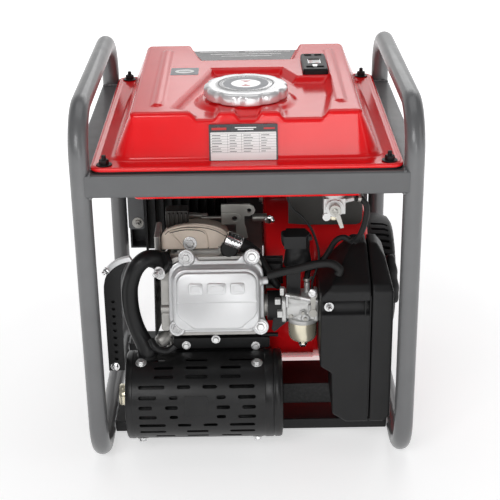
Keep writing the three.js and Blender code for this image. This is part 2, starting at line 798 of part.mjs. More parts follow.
function carburettor() {
  const bore = 11;
  const throat = alongX(disc(16, 14), 21, 80);
  const block = alongX(roundedRect(17, 16, 5, 0, 0, 1), 42, 72);
  const headFlange = alongX(roundedRect(24, 17, 8, 0, 0, 1), 38, 43);
  const boxFlange = alongX(roundedRect(24, 17, 8, 0, 0, 1), 76, 80.7);
  const deck = alongZ(disc(18, 20, 61, 0), -24, -14);
  const inlet = bar(vec(68, 0, 12), vec(68, 0, 30), 3.6, 8);
  return piece("carburettor", BRIGHT_ALUMINIUM, cut(
    join(throat, block, headFlange, boxFlange, deck, inlet),
    alongX(disc(bore, 14), 10, 90),
  ));
}

function floatBowl() {
  const profile = [
    [0, -50], [5, -50], [5, -46], [12, -43], [16, -37], [17, -28], [18.5, -28], [18.5, -24.3],
    [16, -24.3], [15, -36], [11, -41], [0, -43],
  ].map(([r, z]) => new THREE.Vector2(r, z));
  const bowl = new THREE.LatheGeometry(profile, 18).rotateX(Math.PI / 2);
  return piece("float_bowl", BRIGHT_ALUMINIUM, bowl.translate(61, 0, 0));
}

// Stepper motor that works the throttle, on its bracket.
function throttleMotor() {
  return piece("throttle_motor", BLACK_PLASTIC, join(
    box(44, 60, -10, 8, 16.4, 55),
    alongZ(disc(14, 20, 57, 2), 53, 79),
    alongZ(outline([[41, -12], [66, -12], [71, 0], [66, 14], [44, 14]]), 77, 92),
  ));
}

function chokeLever() {
  const lever = piece("choke_lever", STEEL, join(
    alongY(disc(5, 14), -3, 0),
    alongY(outline([[-2.5, 0], [2.5, 0], [3, 22], [-3, 22]]), -2.5, -0.5),
    alongY(disc(4.5, 12, 0, 24), -5, -0.5),
  ));
  lever.position.set(74, -24 - GAP, 2);
  return lever;
}

function throttleCable() {
  return piece("throttle_cable", RUBBER, hose([
    [42, -110, 331], [50, -110, 306], [61, -110, 295], [72, -110, 280], [79, -110, 262],
    [82, -111, 244], [79, -113, 228], [74.5, -114, 214], [74, -115, 200.5],
  ], 1.5, 18));
}

function breatherHose() {
  return piece("breather_hose", RUBBER, hose([
    [22.6, -133.5, 231], [36, -136, 236], [55, -140, 242], [76, -144, 249], [93, -147, 251],
    [103, -149, 244], [101, -150, 237.4],
  ], 4.6, 20));
}

// The case's side outline is cut by its front outline, which slopes back at the top.
function airBoxBlock(from, to, inset) {
  const { front, back, low, top } = AIR_BOX;
  // The lower part is shallower, to clear the engine's cradle.
  const lowBack = back - 20;
  const profile = outline([
    [lowBack - inset, low + inset], [lowBack - inset, 120 + inset], [back - inset, 134 + inset],
    [back - inset, top - inset], [back - 28, top - inset], [front + 6 + inset, 230 - inset],
    [front + inset, 222 - inset], [front + inset, low + inset],
  ].reverse());
  return alongX(profile, from, to);
}

function airCleanerCase() {
  const { left, joint, front, back, low, top } = AIR_BOX;
  const wall = 3;
  const face = (inset) => outline([
    [joint + 1, low + inset], [112 + inset, low + inset], [96 + inset, 64 + inset],
    [94 + inset, 119 - inset], [left + inset, 128 + inset], [left + inset, 217 - inset],
    [122 + inset, top - inset], [joint + 1, top - inset],
  ].reverse());
  const block = common(
    alongY(face(0), front, back),
    airBoxBlock(left, joint - GAP, 0),
  );
  const hollow = common(
    alongY(face(wall), front, back),
    airBoxBlock(left, joint + 1, wall),
  );
  const groove = common(
    alongX(disc(9, 16, front - 2, 203), left - 1, joint + 1),
    box(left - 1, joint + 1, front - 20, back, 0, 400),
  );
  const intake = bar(vec(left - 1, CARB.y, CARB.z), vec(left + 5, CARB.y, CARB.z), 11, 12);
  const shell = cut(block, hollow, groove);
  const lining = common(
    cut(
      alongX(disc(9 + 2.5, 16, front - 2, 203), left + 1, joint - GAP),
      alongX(disc(9, 16, front - 2, 203), left - 1, joint + 1),
    ),
    block,
  );
  return piece("air_cleaner_case", BLACK_PLASTIC, cut(join(shell, lining), intake));
}

function airCleanerCover() {
  const { joint, right } = AIR_BOX;
  const wall = 3;
  const face = (inset, start) => alongY(outline([
    [start, AIR_BOX.low + inset], [right - 7, AIR_BOX.low + inset],
    [right - inset, AIR_BOX.low + 8], [right - inset, 222], [right - 6 - inset, 246],
    [right - 14, AIR_BOX.top - inset], [start, AIR_BOX.top - inset],
  ]), AIR_BOX.front, AIR_BOX.back);
  const shell = common(face(0, joint + GAP), airBoxBlock(joint, right, 0));
  const hollow = common(face(wall, joint - 1), airBoxBlock(joint - 1, right, wall));
  return piece("air_cleaner_cover", BLACK_PLASTIC, cut(shell, hollow));
}

function filterElement() {
  const { joint } = AIR_BOX;
  return piece("air_filter_element", FOAM, box(joint - 34, joint - 3, -150, -96, 66, 186));
}

function intake() {
  const carb = groupOf(carburettor(), floatBowl(), throttleMotor(), chokeLever());
  carb.position.set(0, CARB.y, CARB.z);
  return groupOf(
    carb, throttleCable(), breatherHose(), airCleanerCase(), airCleanerCover(), filterElement(),
    ignitionLead(),
  );
}

// ---------------------------------------------------------------- exhaust

function exhaustPipe() {
  return piece("exhaust_pipe", BLACK_STEEL, hose([
    [-95.4, -100, 234], [-101, -100.5, 235], [-109, -106, 242], [-120, -114, 245], [-131, -118, 235],
    [-138, -118, 216], [-139.5, -118, 198], [-138, -118, 178], [-133, -119, 158],
    [-125, -122, 140], [-122, -124, 132], [-122, -124, 127],
  ], 10, 20, 10));
}

// Perforated guard strap beside the pipe.
function exhaustGuard() {
  const holes = [];
  for (let i = 0; i < 9; i += 1) {
    holes.push(alongY(disc(2.6, 8, -159, 120 + i * 9.5), -125, -118));
  }
  const strap = alongY(outline([
    [-169, 104], [-152, 104], [-151, 214], [-149, 228], [-144, 238], [-140, 245], [-150, 245],
    [-160, 238], [-166, 227], [-169, 212],
  ]), -123, -121);
  return piece("exhaust_guard", BLACK_STEEL, cut(strap, ...holes));
}

function muffler() {
  const inner = MUFFLER.radius - MUFFLER.shell - 4;
  const body = alongX(disc(inner, 28), MUFFLER.left + 5, MUFFLER.right - 4);
  const leftEnd = alongX(disc(MUFFLER.radius - 1, 28), MUFFLER.left, MUFFLER.left + 7);
  const rightEnd = alongX(disc(MUFFLER.radius - 1, 28), MUFFLER.right - 5, MUFFLER.right);
  const tail = alongX(disc(14.5, 16), MUFFLER.left - 10, MUFFLER.left + 2);
  const bore = alongX(disc(11.5, 16), MUFFLER.left - 11, MUFFLER.left + 12);
  const chamber = alongX(disc(inner - 2, 28), MUFFLER.left + 9, MUFFLER.right - 7);
  const inlet = alongZ(disc(10, 10, -122, 2), 40, 53.5);
  const bracket = box(-90, 10, 26, 29, 36, 68);
  return piece("muffler", BLACK_STEEL, cut(
    join(body, leftEnd, rightEnd, tail, inlet, bracket), bore, chamber,
  ));
}

// Slotted heat shield wrapped round the muffler, open at the back.
function mufflerShield() {
  const { radius, shell, left, right } = MUFFLER;
  const ring = cut(
    alongX(disc(radius, 32), left + 7 + GAP, right - 5 - GAP),
    alongX(disc(radius - shell, 32), left, right),
  );
  const gate = box(left - 1, right + 1, 18, radius + 1, -radius - 1, radius + 1);
  const inletHole = alongZ(disc(12, 12, -122, 2), 40, 60);
  return piece("muffler_shield", BLACK_STEEL, cut(ring, gate, inletHole));
}

function exhaust() {
  const can = groupOf(muffler(), mufflerShield());
  can.position.set(0, MUFFLER.y, MUFFLER.z);
  return groupOf(can, exhaustPipe(), exhaustGuard());
}

// ---------------------------------------------------------------- control panel

const SWITCH = { z: 290, half: 10, halfHeight: 14 };
const ENGINE_SWITCH_X = 110;
const ECO_SWITCH_X = 70;
const BREAKER = { x: 20, z: 290 };
const SOCKET = { x: -70, z: 240 };
const GROUND = { x: 120, z: 175 };

function controlPanel() {
  const { half, front, back, low, top } = PANEL;
  const wall = 3;
  const shell = cut(
    box(-half, half, back, front, low, top),
    box(-half + wall, half - wall, back - 1, front - wall, low + wall, top - wall),
  );
  const windows = [ENGINE_SWITCH_X, ECO_SWITCH_X].map((x) => box(
    x - SWITCH.half, x + SWITCH.half, back, front + 1,
    SWITCH.z - SWITCH.halfHeight, SWITCH.z + SWITCH.halfHeight,
  ));
  return piece("control_panel", BLACK_PLASTIC, cut(
    shell,
    ...windows,
    alongY(disc(6, 16, BREAKER.x, BREAKER.z), back, front + 1),
    alongY(roundedRect(38, 24, 6, SOCKET.x, SOCKET.z), back, front + 1),
    alongY(disc(4, 12, GROUND.x, GROUND.z), back, front + 1),
  ));
}

// A rocker on a cross pin, with its upper half pressed in at rest.
function rockerSwitch(name, x) {
  const profile = outline([
    [-1.2, -12.8], [1.4, 0], [-1.2, 12.8], [-9, 8], [-9, -8],
  ]);
  const rocker = alongX(profile, -8.5, 8.5);
  const tilt = radians(-9);
  const node = piece(name, BLACK_PLASTIC, rocker.rotateX(tilt));
  node.position.set(x, PANEL.front - 1.5, SWITCH.z);
  return node;
}

function breakerButton() {
  const button = join(
    alongY(disc(5.5, 16), -12, 1.8),
    alongY(disc(8, 16), -12, -8),
  );
  const node = piece("breaker_button", WHITE_PLASTIC, button);
  node.position.set(BREAKER.x, PANEL.front, BREAKER.z);
  return node;
}

// Twin socket block, with slots for two plugs.
function mainsSocket() {
  const front = PANEL.front + 1.5;
  const slots = [];
  for (const x of [-18, 18]) {
    slots.push(box(x - 7, x - 4.6, front - 16, front + 1, -1, 8));
    slots.push(box(x + 4.6, x + 7, front - 16, front + 1, -1, 8));
    slots.push(alongY(disc(2.6, 10, x, -8), front - 16, front + 1));
  }
  const node = piece("mains_socket", BLACK_PLASTIC, cut(
    alongY(roundedRect(38 - GAP, 24 - GAP, 6), front - 20, front), ...slots,
  ));
  node.position.set(SOCKET.x, 0, SOCKET.z);
  return node;
}

function groundTerminal() {
  const node = piece("ground_terminal_nut", STEEL, join(
    alongY(disc(3.7, 12), -10, 1),
    alongY(disc(6, 14), GAP, 1.5),
    box(-9, 9, GAP, 1.8, -2, 2),
  ));
  node.position.set(GROUND.x, PANEL.front, GROUND.z);
  return node;
}

function inverterModule() {
  const fins = [];
  const count = 10;
  const spacing = 11.6;
  const fin = 3;
  for (let i = 0; i < count; i += 1) {
    const x = INVERTER.left + 1 + i * spacing;
    fins.push(box(x, x + fin, INVERTER.front - 14, INVERTER.front + 1, 152, 298));
  }
  const block = box(INVERTER.left, INVERTER.right, INVERTER.front, INVERTER.back, 150, 300);
  return piece("inverter_module", BLACK_STEEL, join(block, ...fins));
}

function panel() {
  return groupOf(
    controlPanel(),
    inverterModule(),
    rockerSwitch("engine_switch", ENGINE_SWITCH_X),
    rockerSwitch("eco_switch", ECO_SWITCH_X),
    breakerButton(),
    mainsSocket(),
    groundTerminal(),
  );
}

export default groupOf(frame(), tank(), engine(), alternator(), intake(), exhaust(), panel());
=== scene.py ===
"""The looks of an open-frame inverter generator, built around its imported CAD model.

Lengths inside the script are millimetres, in the CAD model's own frame: +X is the recoil starter's
side, -Y the service side with the valve cover, +Z up. Shapes turn to metres when they become pieces.
"""
import bpy
import bmesh
import json
import math
from mathutils import Matrix, Vector, noise


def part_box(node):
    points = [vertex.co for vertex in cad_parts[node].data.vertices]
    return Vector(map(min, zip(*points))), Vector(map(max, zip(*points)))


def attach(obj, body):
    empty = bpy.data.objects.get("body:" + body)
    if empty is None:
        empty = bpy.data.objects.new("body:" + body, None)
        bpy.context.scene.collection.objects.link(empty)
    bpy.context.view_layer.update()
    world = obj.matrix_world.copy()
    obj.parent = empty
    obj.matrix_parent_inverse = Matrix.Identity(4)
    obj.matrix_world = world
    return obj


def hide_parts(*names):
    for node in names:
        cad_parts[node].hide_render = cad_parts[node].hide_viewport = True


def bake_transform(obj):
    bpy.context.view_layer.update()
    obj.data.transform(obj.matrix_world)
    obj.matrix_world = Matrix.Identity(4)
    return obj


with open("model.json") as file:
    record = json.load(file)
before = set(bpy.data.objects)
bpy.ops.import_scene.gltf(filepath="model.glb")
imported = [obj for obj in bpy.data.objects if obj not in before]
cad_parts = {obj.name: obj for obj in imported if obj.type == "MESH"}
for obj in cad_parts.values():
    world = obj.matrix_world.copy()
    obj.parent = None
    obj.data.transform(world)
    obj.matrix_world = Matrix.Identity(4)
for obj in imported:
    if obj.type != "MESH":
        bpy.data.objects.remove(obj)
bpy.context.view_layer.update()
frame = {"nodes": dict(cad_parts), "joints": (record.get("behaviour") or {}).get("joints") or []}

MM = 0.001
ROOT = "frame_and_engine"
UP = Vector((0, 0, 1))


def span(node):
    """The lowest and highest corners of a CAD node, in millimetres."""
    low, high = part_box(node)
    return low / MM, high / MM


def centre(node):
    """The middle of a CAD node's box, in millimetres."""
    low, high = span(node)
    return (low + high) / 2


def add_to_scene(name, data):
    """A new object in the scene with the given data."""
    made = bpy.data.objects.new(name, data)
    bpy.context.scene.collection.objects.link(made)
    return made


# ------------------------------------------------------------------ materials

def ramp(nodes, low, high, dark, light):
    """A colour ramp node from one colour at low to another at high."""
    node = nodes.new("ShaderNodeValToRGB")
    node.color_ramp.elements[0].position = low
    node.color_ramp.elements[1].position = high
    node.color_ramp.elements[0].color = (*dark, 1)
    node.color_ramp.elements[1].color = (*light, 1)
    return node


def texture(tree, kind, scale, stretch=(1, 1, 1), detail=3.0):
    """A noise or cell texture in object space. Scale counts features per metre."""
    nodes, links = tree.nodes, tree.links
    place = nodes.new("ShaderNodeTexCoord")
    mapping = nodes.new("ShaderNodeMapping")
    mapping.inputs["Scale"].default_value = stretch
    links.new(place.outputs["Object"], mapping.inputs["Vector"])
    if kind == "cells":
        node = nodes.new("ShaderNodeTexVoronoi")
        node.inputs["Scale"].default_value = scale
        links.new(mapping.outputs[0], node.inputs["Vector"])
        return node.outputs["Distance"]
    node = nodes.new("ShaderNodeTexNoise")
    node.inputs["Scale"].default_value = scale
    node.inputs["Detail"].default_value = detail
    links.new(mapping.outputs[0], node.inputs["Vector"])
    return node.outputs["Fac"]


def finish(name, colour, rough, metallic=0.0, grain=("noise", 900, 0.03), mottle=0.08,
           mottle_scale=22, spread=0.08, coat=0.0, edge_tint=None, stretch=(1, 1, 1), waves=None,
           specular=0.5):
    """A material whose colour, roughness and bump all vary over the surface.

    grain is a texture kind, its features per metre and its bump depth in millimetres; mottle is
    the colour's variation; spread is the roughness variation; edge_tint is the colour laid on
    outer edges, where the surface bends most; waves is a second, longer bump as features per metre
    and depth in millimetres; specular is the strength of a plastic's or paint's reflection.
    """
    material = bpy.data.materials.new(name)
    material.use_nodes = True
    tree = material.node_tree
    nodes, links = tree.nodes, tree.links
    shader = nodes["Principled BSDF"]
    shader.inputs["Metallic"].default_value = metallic
    shader.inputs["Coat Weight"].default_value = coat
    shader.inputs["Coat Roughness"].default_value = 0.06
    shader.inputs["Specular IOR Level"].default_value = specular

    patches = texture(tree, "noise", mottle_scale, detail=6)
    dark = [c * (1 - mottle) for c in colour]
    light = [min(1, c * (1 + mottle)) for c in colour]
    tint = ramp(nodes, 0.3, 0.7, dark, light)
    links.new(patches, tint.inputs["Fac"])
    colour_out = tint.outputs["Color"]
    if edge_tint:
        # Pointiness is 0.5 on a flat face and more on an outer edge.
        geometry = nodes.new("ShaderNodeNewGeometry")
        edge = nodes.new("ShaderNodeMath")
        edge.operation = "MULTIPLY_ADD"
        edge.inputs[1].default_value = 0.12
        links.new(texture(tree, "noise", 260), edge.inputs[0])
        links.new(geometry.outputs["Pointiness"], edge.inputs[2])
        mask = ramp(nodes, 0.62, 0.68, (0, 0, 0), (1, 1, 1))
        links.new(edge.outputs[0], mask.inputs["Fac"])
        mix = nodes.new("ShaderNodeMix")
        mix.data_type = "RGBA"
        mix.inputs["B"].default_value = (*edge_tint, 1)
        links.new(mask.outputs["Color"], mix.inputs["Factor"])
        links.new(colour_out, mix.inputs["A"])
        colour_out = mix.outputs["Result"]
    links.new(colour_out, shader.inputs["Base Color"])

    smears = nodes.new("ShaderNodeMapRange")
    smears.inputs["To Min"].default_value = max(0.02, rough - spread)
    smears.inputs["To Max"].default_value = min(1, rough + spread)
    links.new(texture(tree, "noise", 60, stretch, 8), smears.inputs["Value"])
    links.new(smears.outputs[0], shader.inputs["Roughness"])

    kind, scale, depth = grain
    bump = nodes.new("ShaderNodeBump")
    bump.inputs["Distance"].default_value = depth * MM
    links.new(texture(tree, kind, scale, stretch), bump.inputs["Height"])
    normal = bump.outputs[0]
    if waves:
        wave_scale, wave_depth = waves
        second = nodes.new("ShaderNodeBump")
        second.inputs["Distance"].default_value = wave_depth * MM
        links.new(texture(tree, "noise", wave_scale, detail=1), second.inputs["Height"])
        links.new(normal, second.inputs["Normal"])
        normal = second.outputs[0]
    links.new(normal, shader.inputs["Normal"])
    return material


GREY_PAINT = finish("grey_paint", (0.152, 0.154, 0.157), 0.36, 0.2, ("noise", 500, 0.02), 0.05,
                    coat=0.3, waves=(60, 0.05))
# A darker copy of the grey paint for the square tubes, which paints shade onto them: the real tubes
# wear the same grey as the loops.
SHADED_GREY_PAINT = finish("grey_paint_painted_shade", (0.112, 0.114, 0.117), 0.4, 0.15, ("noise", 500, 0.02), 0.05,
                    coat=0.15, waves=(60, 0.05))
RED_PAINT = finish("red_paint", (0.9, 0.011, 0.015), 0.2, 0.0, ("noise", 420, 0.008), 0.03,
                   spread=0.05, coat=0.2, waves=(30, 0.05), specular=0.4)
BLACK_STEEL = finish("black_steel", (0.009, 0.009, 0.0095), 0.38, 0.0, ("noise", 1100, 0.03), 0.2,
                     spread=0.1, edge_tint=(0.03, 0.03, 0.03), waves=(90, 0.04), specular=0.3)
BLACK_PLASTIC = finish("black_plastic", (0.0105, 0.0105, 0.011), 0.44, 0.0, ("cells", 900, 0.05),
                       0.12, spread=0.1, specular=0.3)
PANEL_PLASTIC = finish("panel_plastic", (0.014, 0.014, 0.016), 0.4, 0.0, ("cells", 1100, 0.04), 0.1)
HEAT_BLACK = finish("heat_black", (0.0112, 0.0112, 0.0116), 0.36, 0.0, ("noise", 1100, 0.03), 0.25,
                    spread=0.08, waves=(90, 0.03), specular=0.35)
DARK_PLATE = finish("dark_plate", (0.045, 0.042, 0.038), 0.4, 0.2, ("noise", 900, 0.02), 0.12)
RUBBER = finish("rubber", (0.012, 0.012, 0.012), 0.55, 0.0, ("noise", 1300, 0.04), 0.2,
                specular=0.3)
CAST_ALUMINIUM = finish("cast_aluminium", (0.42, 0.41, 0.39), 0.42, 0.6, ("noise", 1500, 0.09),
                        0.14, spread=0.1, waves=(160, 0.06))
TAN_CASTING = finish("tan_casting", (0.88, 0.76, 0.64), 0.5, 0.15, ("noise", 1500, 0.08), 0.1,
                     spread=0.1, waves=(160, 0.05))
BRIGHT_ALUMINIUM = finish("bright_aluminium", (0.67, 0.675, 0.68), 0.33, 0.45,
                          ("noise", 1400, 0.04), 0.05, spread=0.07, waves=(110, 0.04))
DIE_CASTING = finish("die_casting", (0.62, 0.62, 0.61), 0.36, 0.5, ("noise", 1500, 0.06), 0.12,
                     spread=0.1, waves=(160, 0.05))
CHROME = finish("chrome", (0.86, 0.86, 0.86), 0.09, 1.0, ("noise", 900, 0.004), 0.03, spread=0.05)
CAP_METAL = finish("cap_metal", (0.88, 0.88, 0.885), 0.24, 0.5, ("noise", 900, 0.01), 0.03,
                   spread=0.05)
ZINC = finish("bright_zinc", (0.72, 0.72, 0.72), 0.24, 0.7, ("noise", 1200, 0.02), 0.05)
STEEL = finish("plain_steel", (0.46, 0.45, 0.42), 0.36, 0.7, ("noise", 1400, 0.03), 0.1,
               stretch=(1, 1, 6))
BRASS = finish("brassy_zinc", (0.9, 0.84, 0.66), 0.24, 0.7, ("noise", 1100, 0.02), 0.1)
COPPER = finish("winding_copper", (0.5, 0.22, 0.09), 0.35, 0.8, ("noise", 700, 0.2), 0.15,
                stretch=(8, 1, 1))
FOAM = finish("filter_foam", (0.09, 0.09, 0.075), 0.95, 0.0, ("cells", 420, 0.7), 0.25)
WHITE_PLASTIC = finish("white_plastic", (0.72, 0.71, 0.67), 0.42, 0.0, ("cells", 900, 0.03), 0.05)
LABEL_WHITE = finish("label_white", (0.88, 0.88, 0.87), 0.3, 0.0, ("noise", 700, 0.01), 0.03)
LABEL_DARK = finish("label_dark", (0.045, 0.045, 0.05), 0.28, 0.0, ("noise", 700, 0.01), 0.08)
LABEL_GREY = finish("label_grey", (0.12, 0.13, 0.15), 0.3, 0.2, ("noise", 700, 0.01), 0.08)
LABEL_RED = finish("label_red", (0.6, 0.02, 0.02), 0.3, 0.0, ("noise", 700, 0.01), 0.05)


# ------------------------------------------------------------------ shapes

def rounded(half_x, half_y, radius, x=0.0, y=0.0, corner=6, side=1):
    """Points of a rounded rectangle: corner steps in each bend, side steps on each straight."""
    half_x, half_y = max(half_x, 0.01), max(half_y, 0.01)
    radius = min(radius, half_x, half_y)
    bends = ((1, 1, 0), (-1, 1, 90), (-1, -1, 180), (1, -1, 270))
    corners = []
    for sign_x, sign_y, start in bends:
        for i in range(corner + 1):
            turn = math.radians(start + 90 * i / corner)
            corners.append((
                x + sign_x * (half_x - radius) + radius * math.cos(turn),
                y + sign_y * (half_y - radius) + radius * math.sin(turn),
            ))
    points = []
    for i, point in enumerate(corners):
        points.append(point)
        if side > 1 and i % (corner + 1) == corner:
            after = corners[(i + 1) % len(corners)]
            for k in range(1, side):
                part = k / side
                points.append(tuple(a + (b - a) * part for a, b in zip(point, after)))
    return points


def circle(radius, sides=32, x=0.0, y=0.0):
    """Points of a circle about (x, y)."""
    turns = [2 * math.pi * i / sides for i in range(sides)]
    return [(x + radius * math.cos(t), y + radius * math.sin(t)) for t in turns]


def smooth_route(points, steps=6):
    """A curve through the points, with the given steps between each pair."""
    knots = [Vector(p) for p in points]
    knots = [2 * knots[0] - knots[1], *knots, 2 * knots[-1] - knots[-2]]
    route = []
    for a, b, c, d in zip(knots, knots[1:], knots[2:], knots[3:]):
        for i in range(steps):
            t = i / steps
            route.append(0.5 * (2 * b + (c - a) * t + (2 * a - 5 * b + 4 * c - d) * t * t
                                + (3 * b - a - 3 * c + d) * t ** 3))
    route.append(knots[-2])
    return route


def at(x, y, z=0.0):
    """A placement that only moves."""
    return Matrix.Translation((x, y, z))


def facing(origin, direction, roll=0.0):
    """A placement whose +Z lies along a direction."""
    turn = Vector(direction).to_track_quat("Z", "Y").to_matrix().to_4x4()
    return Matrix.Translation(origin) @ turn @ Matrix.Rotation(roll, 4, "Z")


class Shape:
    """A mesh that is being built, in millimetres."""

    def __init__(self):
        self.mesh = bmesh.new()

    def rings(self, rings, loop=False):
        """A skin over closed rings that have the same number of points. With loop the last ring
        joins the first, and otherwise both ends are closed."""
        rows = [[self.mesh.verts.new(p) for p in ring] for ring in rings]
        pairs = list(zip(rows, rows[1:]))
        if loop:
            pairs.append((rows[-1], rows[0]))
        for low, high in pairs:
            for i, point in enumerate(low):
                j = (i + 1) % len(low)
                self.mesh.faces.new((point, low[j], high[j], high[i]))
        if not loop:
            self.mesh.faces.new(rows[0][::-1])
            self.mesh.faces.new(rows[-1])
        return self

    def layers(self, layers, loop=False):
        """Flat outlines, each with its height. With loop they go round a hollow frame."""
        return self.rings([[(x, y, z) for x, y in outline] for outline, z in layers], loop=loop)

    def tiers(self, tiers, corner=6, loop=False):
        """Rounded rectangles: half sizes, corner radius and height, and a centre where given."""
        layers = []
        for half_x, half_y, radius, z, *middle in tiers:
            x, y = middle or (0, 0)
            layers.append((rounded(half_x, half_y, radius, x, y, corner), z))
        return self.layers(layers, loop)

    def prism(self, outline, low, high, axis="z"):
        """An outline pushed along an axis. It is drawn in (y, z), (x, z) or (x, y)."""
        order = {"x": lambda a, b, c: (c, a, b), "y": lambda a, b, c: (a, c, b),
                 "z": lambda a, b, c: (a, b, c)}[axis]
        return self.rings([[order(a, b, c) for a, b in outline] for c in (low, high)])

    def block(self, low, high):
        """A box between two corners."""
        (x0, y0, z0), (x1, y1, z1) = low, high
        return self.prism([(x0, y0), (x1, y0), (x1, y1), (x0, y1)], z0, z1)

    def tube(self, points, radius, sides=20, closed=False):
        """A round tube along points. radius is a number or a function of the part travelled."""
        points = [Vector(p) for p in points]
        count = len(points)
        rings, normal = [], None
        for i, point in enumerate(points):
            before = points[i - 1] if i or closed else point
            after = points[(i + 1) % count] if i < count - 1 or closed else point
            along = (after - before).normalized()
            if normal is None:
                normal = along.orthogonal().normalized()
            normal = (normal - along * normal.dot(along)).normalized()
            across = along.cross(normal)
            reach = radius(i / (count - 1)) if callable(radius) else radius
            turns = [2 * math.pi * k / sides for k in range(sides)]
            rings.append([
                point + reach * (normal * math.cos(t) + across * math.sin(t)) for t in turns
            ])
        return self.rings(rings, loop=closed)

    def lathe(self, profile, sides=40):
        """A profile of (radius, height) turned about Z. It starts and ends on the axis."""
        thinnest = 0.02
        return self.layers([(circle(max(radius, thinnest), sides), z) for radius, z in profile])

    def hollow(self, profile, sides=40):
        """A closed profile of (radius, height) turned about Z, clear of the axis."""
        return self.layers([(circle(radius, sides), z) for radius, z in profile], loop=True)

    def rod(self, radius, low, high, sides):
        """A solid round rod between two heights."""
        return self.lathe([(0, low), (radius, low), (radius, high), (0, high)], sides)

    def pipe(self, inner, outer, low, high, sides):
        """A round pipe between two heights."""
        return self.hollow([(inner, low), (outer, low), (outer, high), (inner, high)], sides)

    def place(self, matrix):
        """Moves and turns everything made so far."""
        self.mesh.transform(matrix)
        return self

    def add(self, other, matrix=None):
        """Takes in a copy of another shape."""
        data = bpy.data.meshes.new("part")
        other.mesh.to_mesh(data)
        if matrix is not None:
            data.transform(matrix)
        self.mesh.from_mesh(data)
        bpy.data.meshes.remove(data)
        return self

    def around(self, other, count):
        """Takes in copies of another shape, evenly spaced about Z."""
        for i in range(count):
            self.add(other, Matrix.Rotation(2 * math.pi * i / count, 4, "Z"))
        return self

    def to_object(self, name):
        """An object with this mesh, in metres. The shape is used up."""
        bmesh.ops.recalc_face_normals(self.mesh, faces=self.mesh.faces)
        data = bpy.data.meshes.new(name)
        self.mesh.to_mesh(data)
        self.mesh.free()
        data.transform(Matrix.Scale(MM, 4))
        return add_to_scene(name, data)


def lift_cad(node):
    """A CAD node's surface as a shape, with its flat faces whole again."""
    same_place, same_plane = 0.02, math.radians(1)
    shape = Shape()
    shape.mesh.from_mesh(frame["nodes"][node].data)
    bmesh.ops.scale(shape.mesh, vec=(1 / MM,) * 3, verts=shape.mesh.verts)
    bmesh.ops.remove_doubles(shape.mesh, verts=shape.mesh.verts, dist=same_place)
    bmesh.ops.dissolve_limit(
        shape.mesh, angle_limit=same_plane, verts=shape.mesh.verts, edges=shape.mesh.edges)
    return shape


def settle(obj):
    """Applies an object's modifiers."""
    graph = bpy.context.evaluated_depsgraph_get()
    data = bpy.data.meshes.new_from_object(obj.evaluated_get(graph))
    obj.modifiers.clear()
    obj.data = data


def piece(shape, name, look, body=ROOT, replaces=(), bevel=0.0, segments=2, angle=40,
          tools=None, voxel=0.0, rounds=4, keep=1.0, place=None):
    """Makes a finished piece: cut by tools, edges rounded, coloured and riding on its body.

    bevel is the edge radius in millimetres. voxel, where given, melts the shape's parts into one
    casting of that grain, smoothed over the given rounds and thinned to the share to keep. place
    puts the finished mesh where it belongs.
    """
    obj = shape.to_object(name)
    if tools:
        cutter = tools.to_object(name + "_cut")
        boolean = obj.modifiers.new("cut", "BOOLEAN")
        boolean.object = cutter
        boolean.solver = "EXACT"
        settle(obj)
        bpy.data.objects.remove(cutter)
    if voxel:
        remesh = obj.modifiers.new("melt", "REMESH")
        remesh.mode = "VOXEL"
        remesh.voxel_size = voxel * MM
        smooth = obj.modifiers.new("smooth", "SMOOTH")
        smooth.iterations = rounds
        if keep < 1:
            thin = obj.modifiers.new("thin", "DECIMATE")
            thin.ratio = keep
        settle(obj)
    if bevel:
        edge = obj.modifiers.new("edges", "BEVEL")
        edge.width = bevel * MM
        edge.segments = segments
        edge.limit_method = "ANGLE"
        edge.angle_limit = math.radians(28)
        edge.harden_normals = False
        settle(obj)
    obj.data.shade_smooth()
    obj.data.set_sharp_from_angle(angle=math.radians(angle))
    if bevel:
        weigh = obj.modifiers.new("normals", "WEIGHTED_NORMAL")
        weigh.keep_sharp = True
        settle(obj)
    if place is not None:
        obj.data.transform(Matrix.Scale(MM, 4) @ place @ Matrix.Scale(1 / MM, 4))
    obj.data.materials.clear()
    obj.data.materials.append(look)
    if body:
        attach(obj, body)
    if replaces:
        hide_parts(*replaces)
    return obj


def refined(node, look, body=ROOT, bevel=0.6, segments=2):
    """A CAD node in its own shape, with its edges rounded."""
    piece(lift_cad(node), node + "_finished", look, body, (node,), bevel, segments)


def bolt(radius=5.0, head=3.5, washer=0.0, thread=0.0, thread_radius=2.5):
    """A hexagon bolt head standing on z = 0, with a flange or washer and an end of thread."""
    shape = Shape()
    base = 0.0
    if washer:
        base = 1.2
        shape.lathe([(0, 0), (washer - 0.3, 0), (washer, 0.3), (washer, 0.9),
                     (washer - 0.4, base), (0, base)], 28)
    hexagon = circle(radius, 6)
    crown = circle(radius * 0.86, 6)
    shape.layers([(hexagon, base - 0.1), (hexagon, base + head * 0.84), (crown, base + head)])
    if thread:
        turns = max(2, int(thread / 0.9))
        profile = [(0, base + head - 0.2)]
        for i in range(turns):
            z = base + head - 0.2 + thread * i / turns
            profile += [(thread_radius, z), (thread_radius - 0.35, z + thread / turns / 2)]
        profile += [(thread_radius - 0.5, base + head + thread), (0, base + head + thread)]
        shape.lathe(profile, 16)
    return shape


def gather(parts):
    """One shape out of (shape, placement) pairs."""
    whole = Shape()
    for shape, matrix in parts:
        whole.add(shape, matrix)
    return whole


def bolts(name, look, places, bevel=0.3, **sizes):
    """One piece with a bolt of the given sizes at each placement."""
    piece(gather([(bolt(**sizes), place) for place in places]), name, look, bevel=bevel)


def hose(name, points, radius, look=RUBBER, steps=8, sides=20, replaces=()):
    """A flexible pipe or wire through the points. It returns the route."""
    route = smooth_route(points, steps)
    piece(Shape().tube(route, radius, sides), name, look, replaces=replaces)
    return route


# ------------------------------------------------------------------ frame

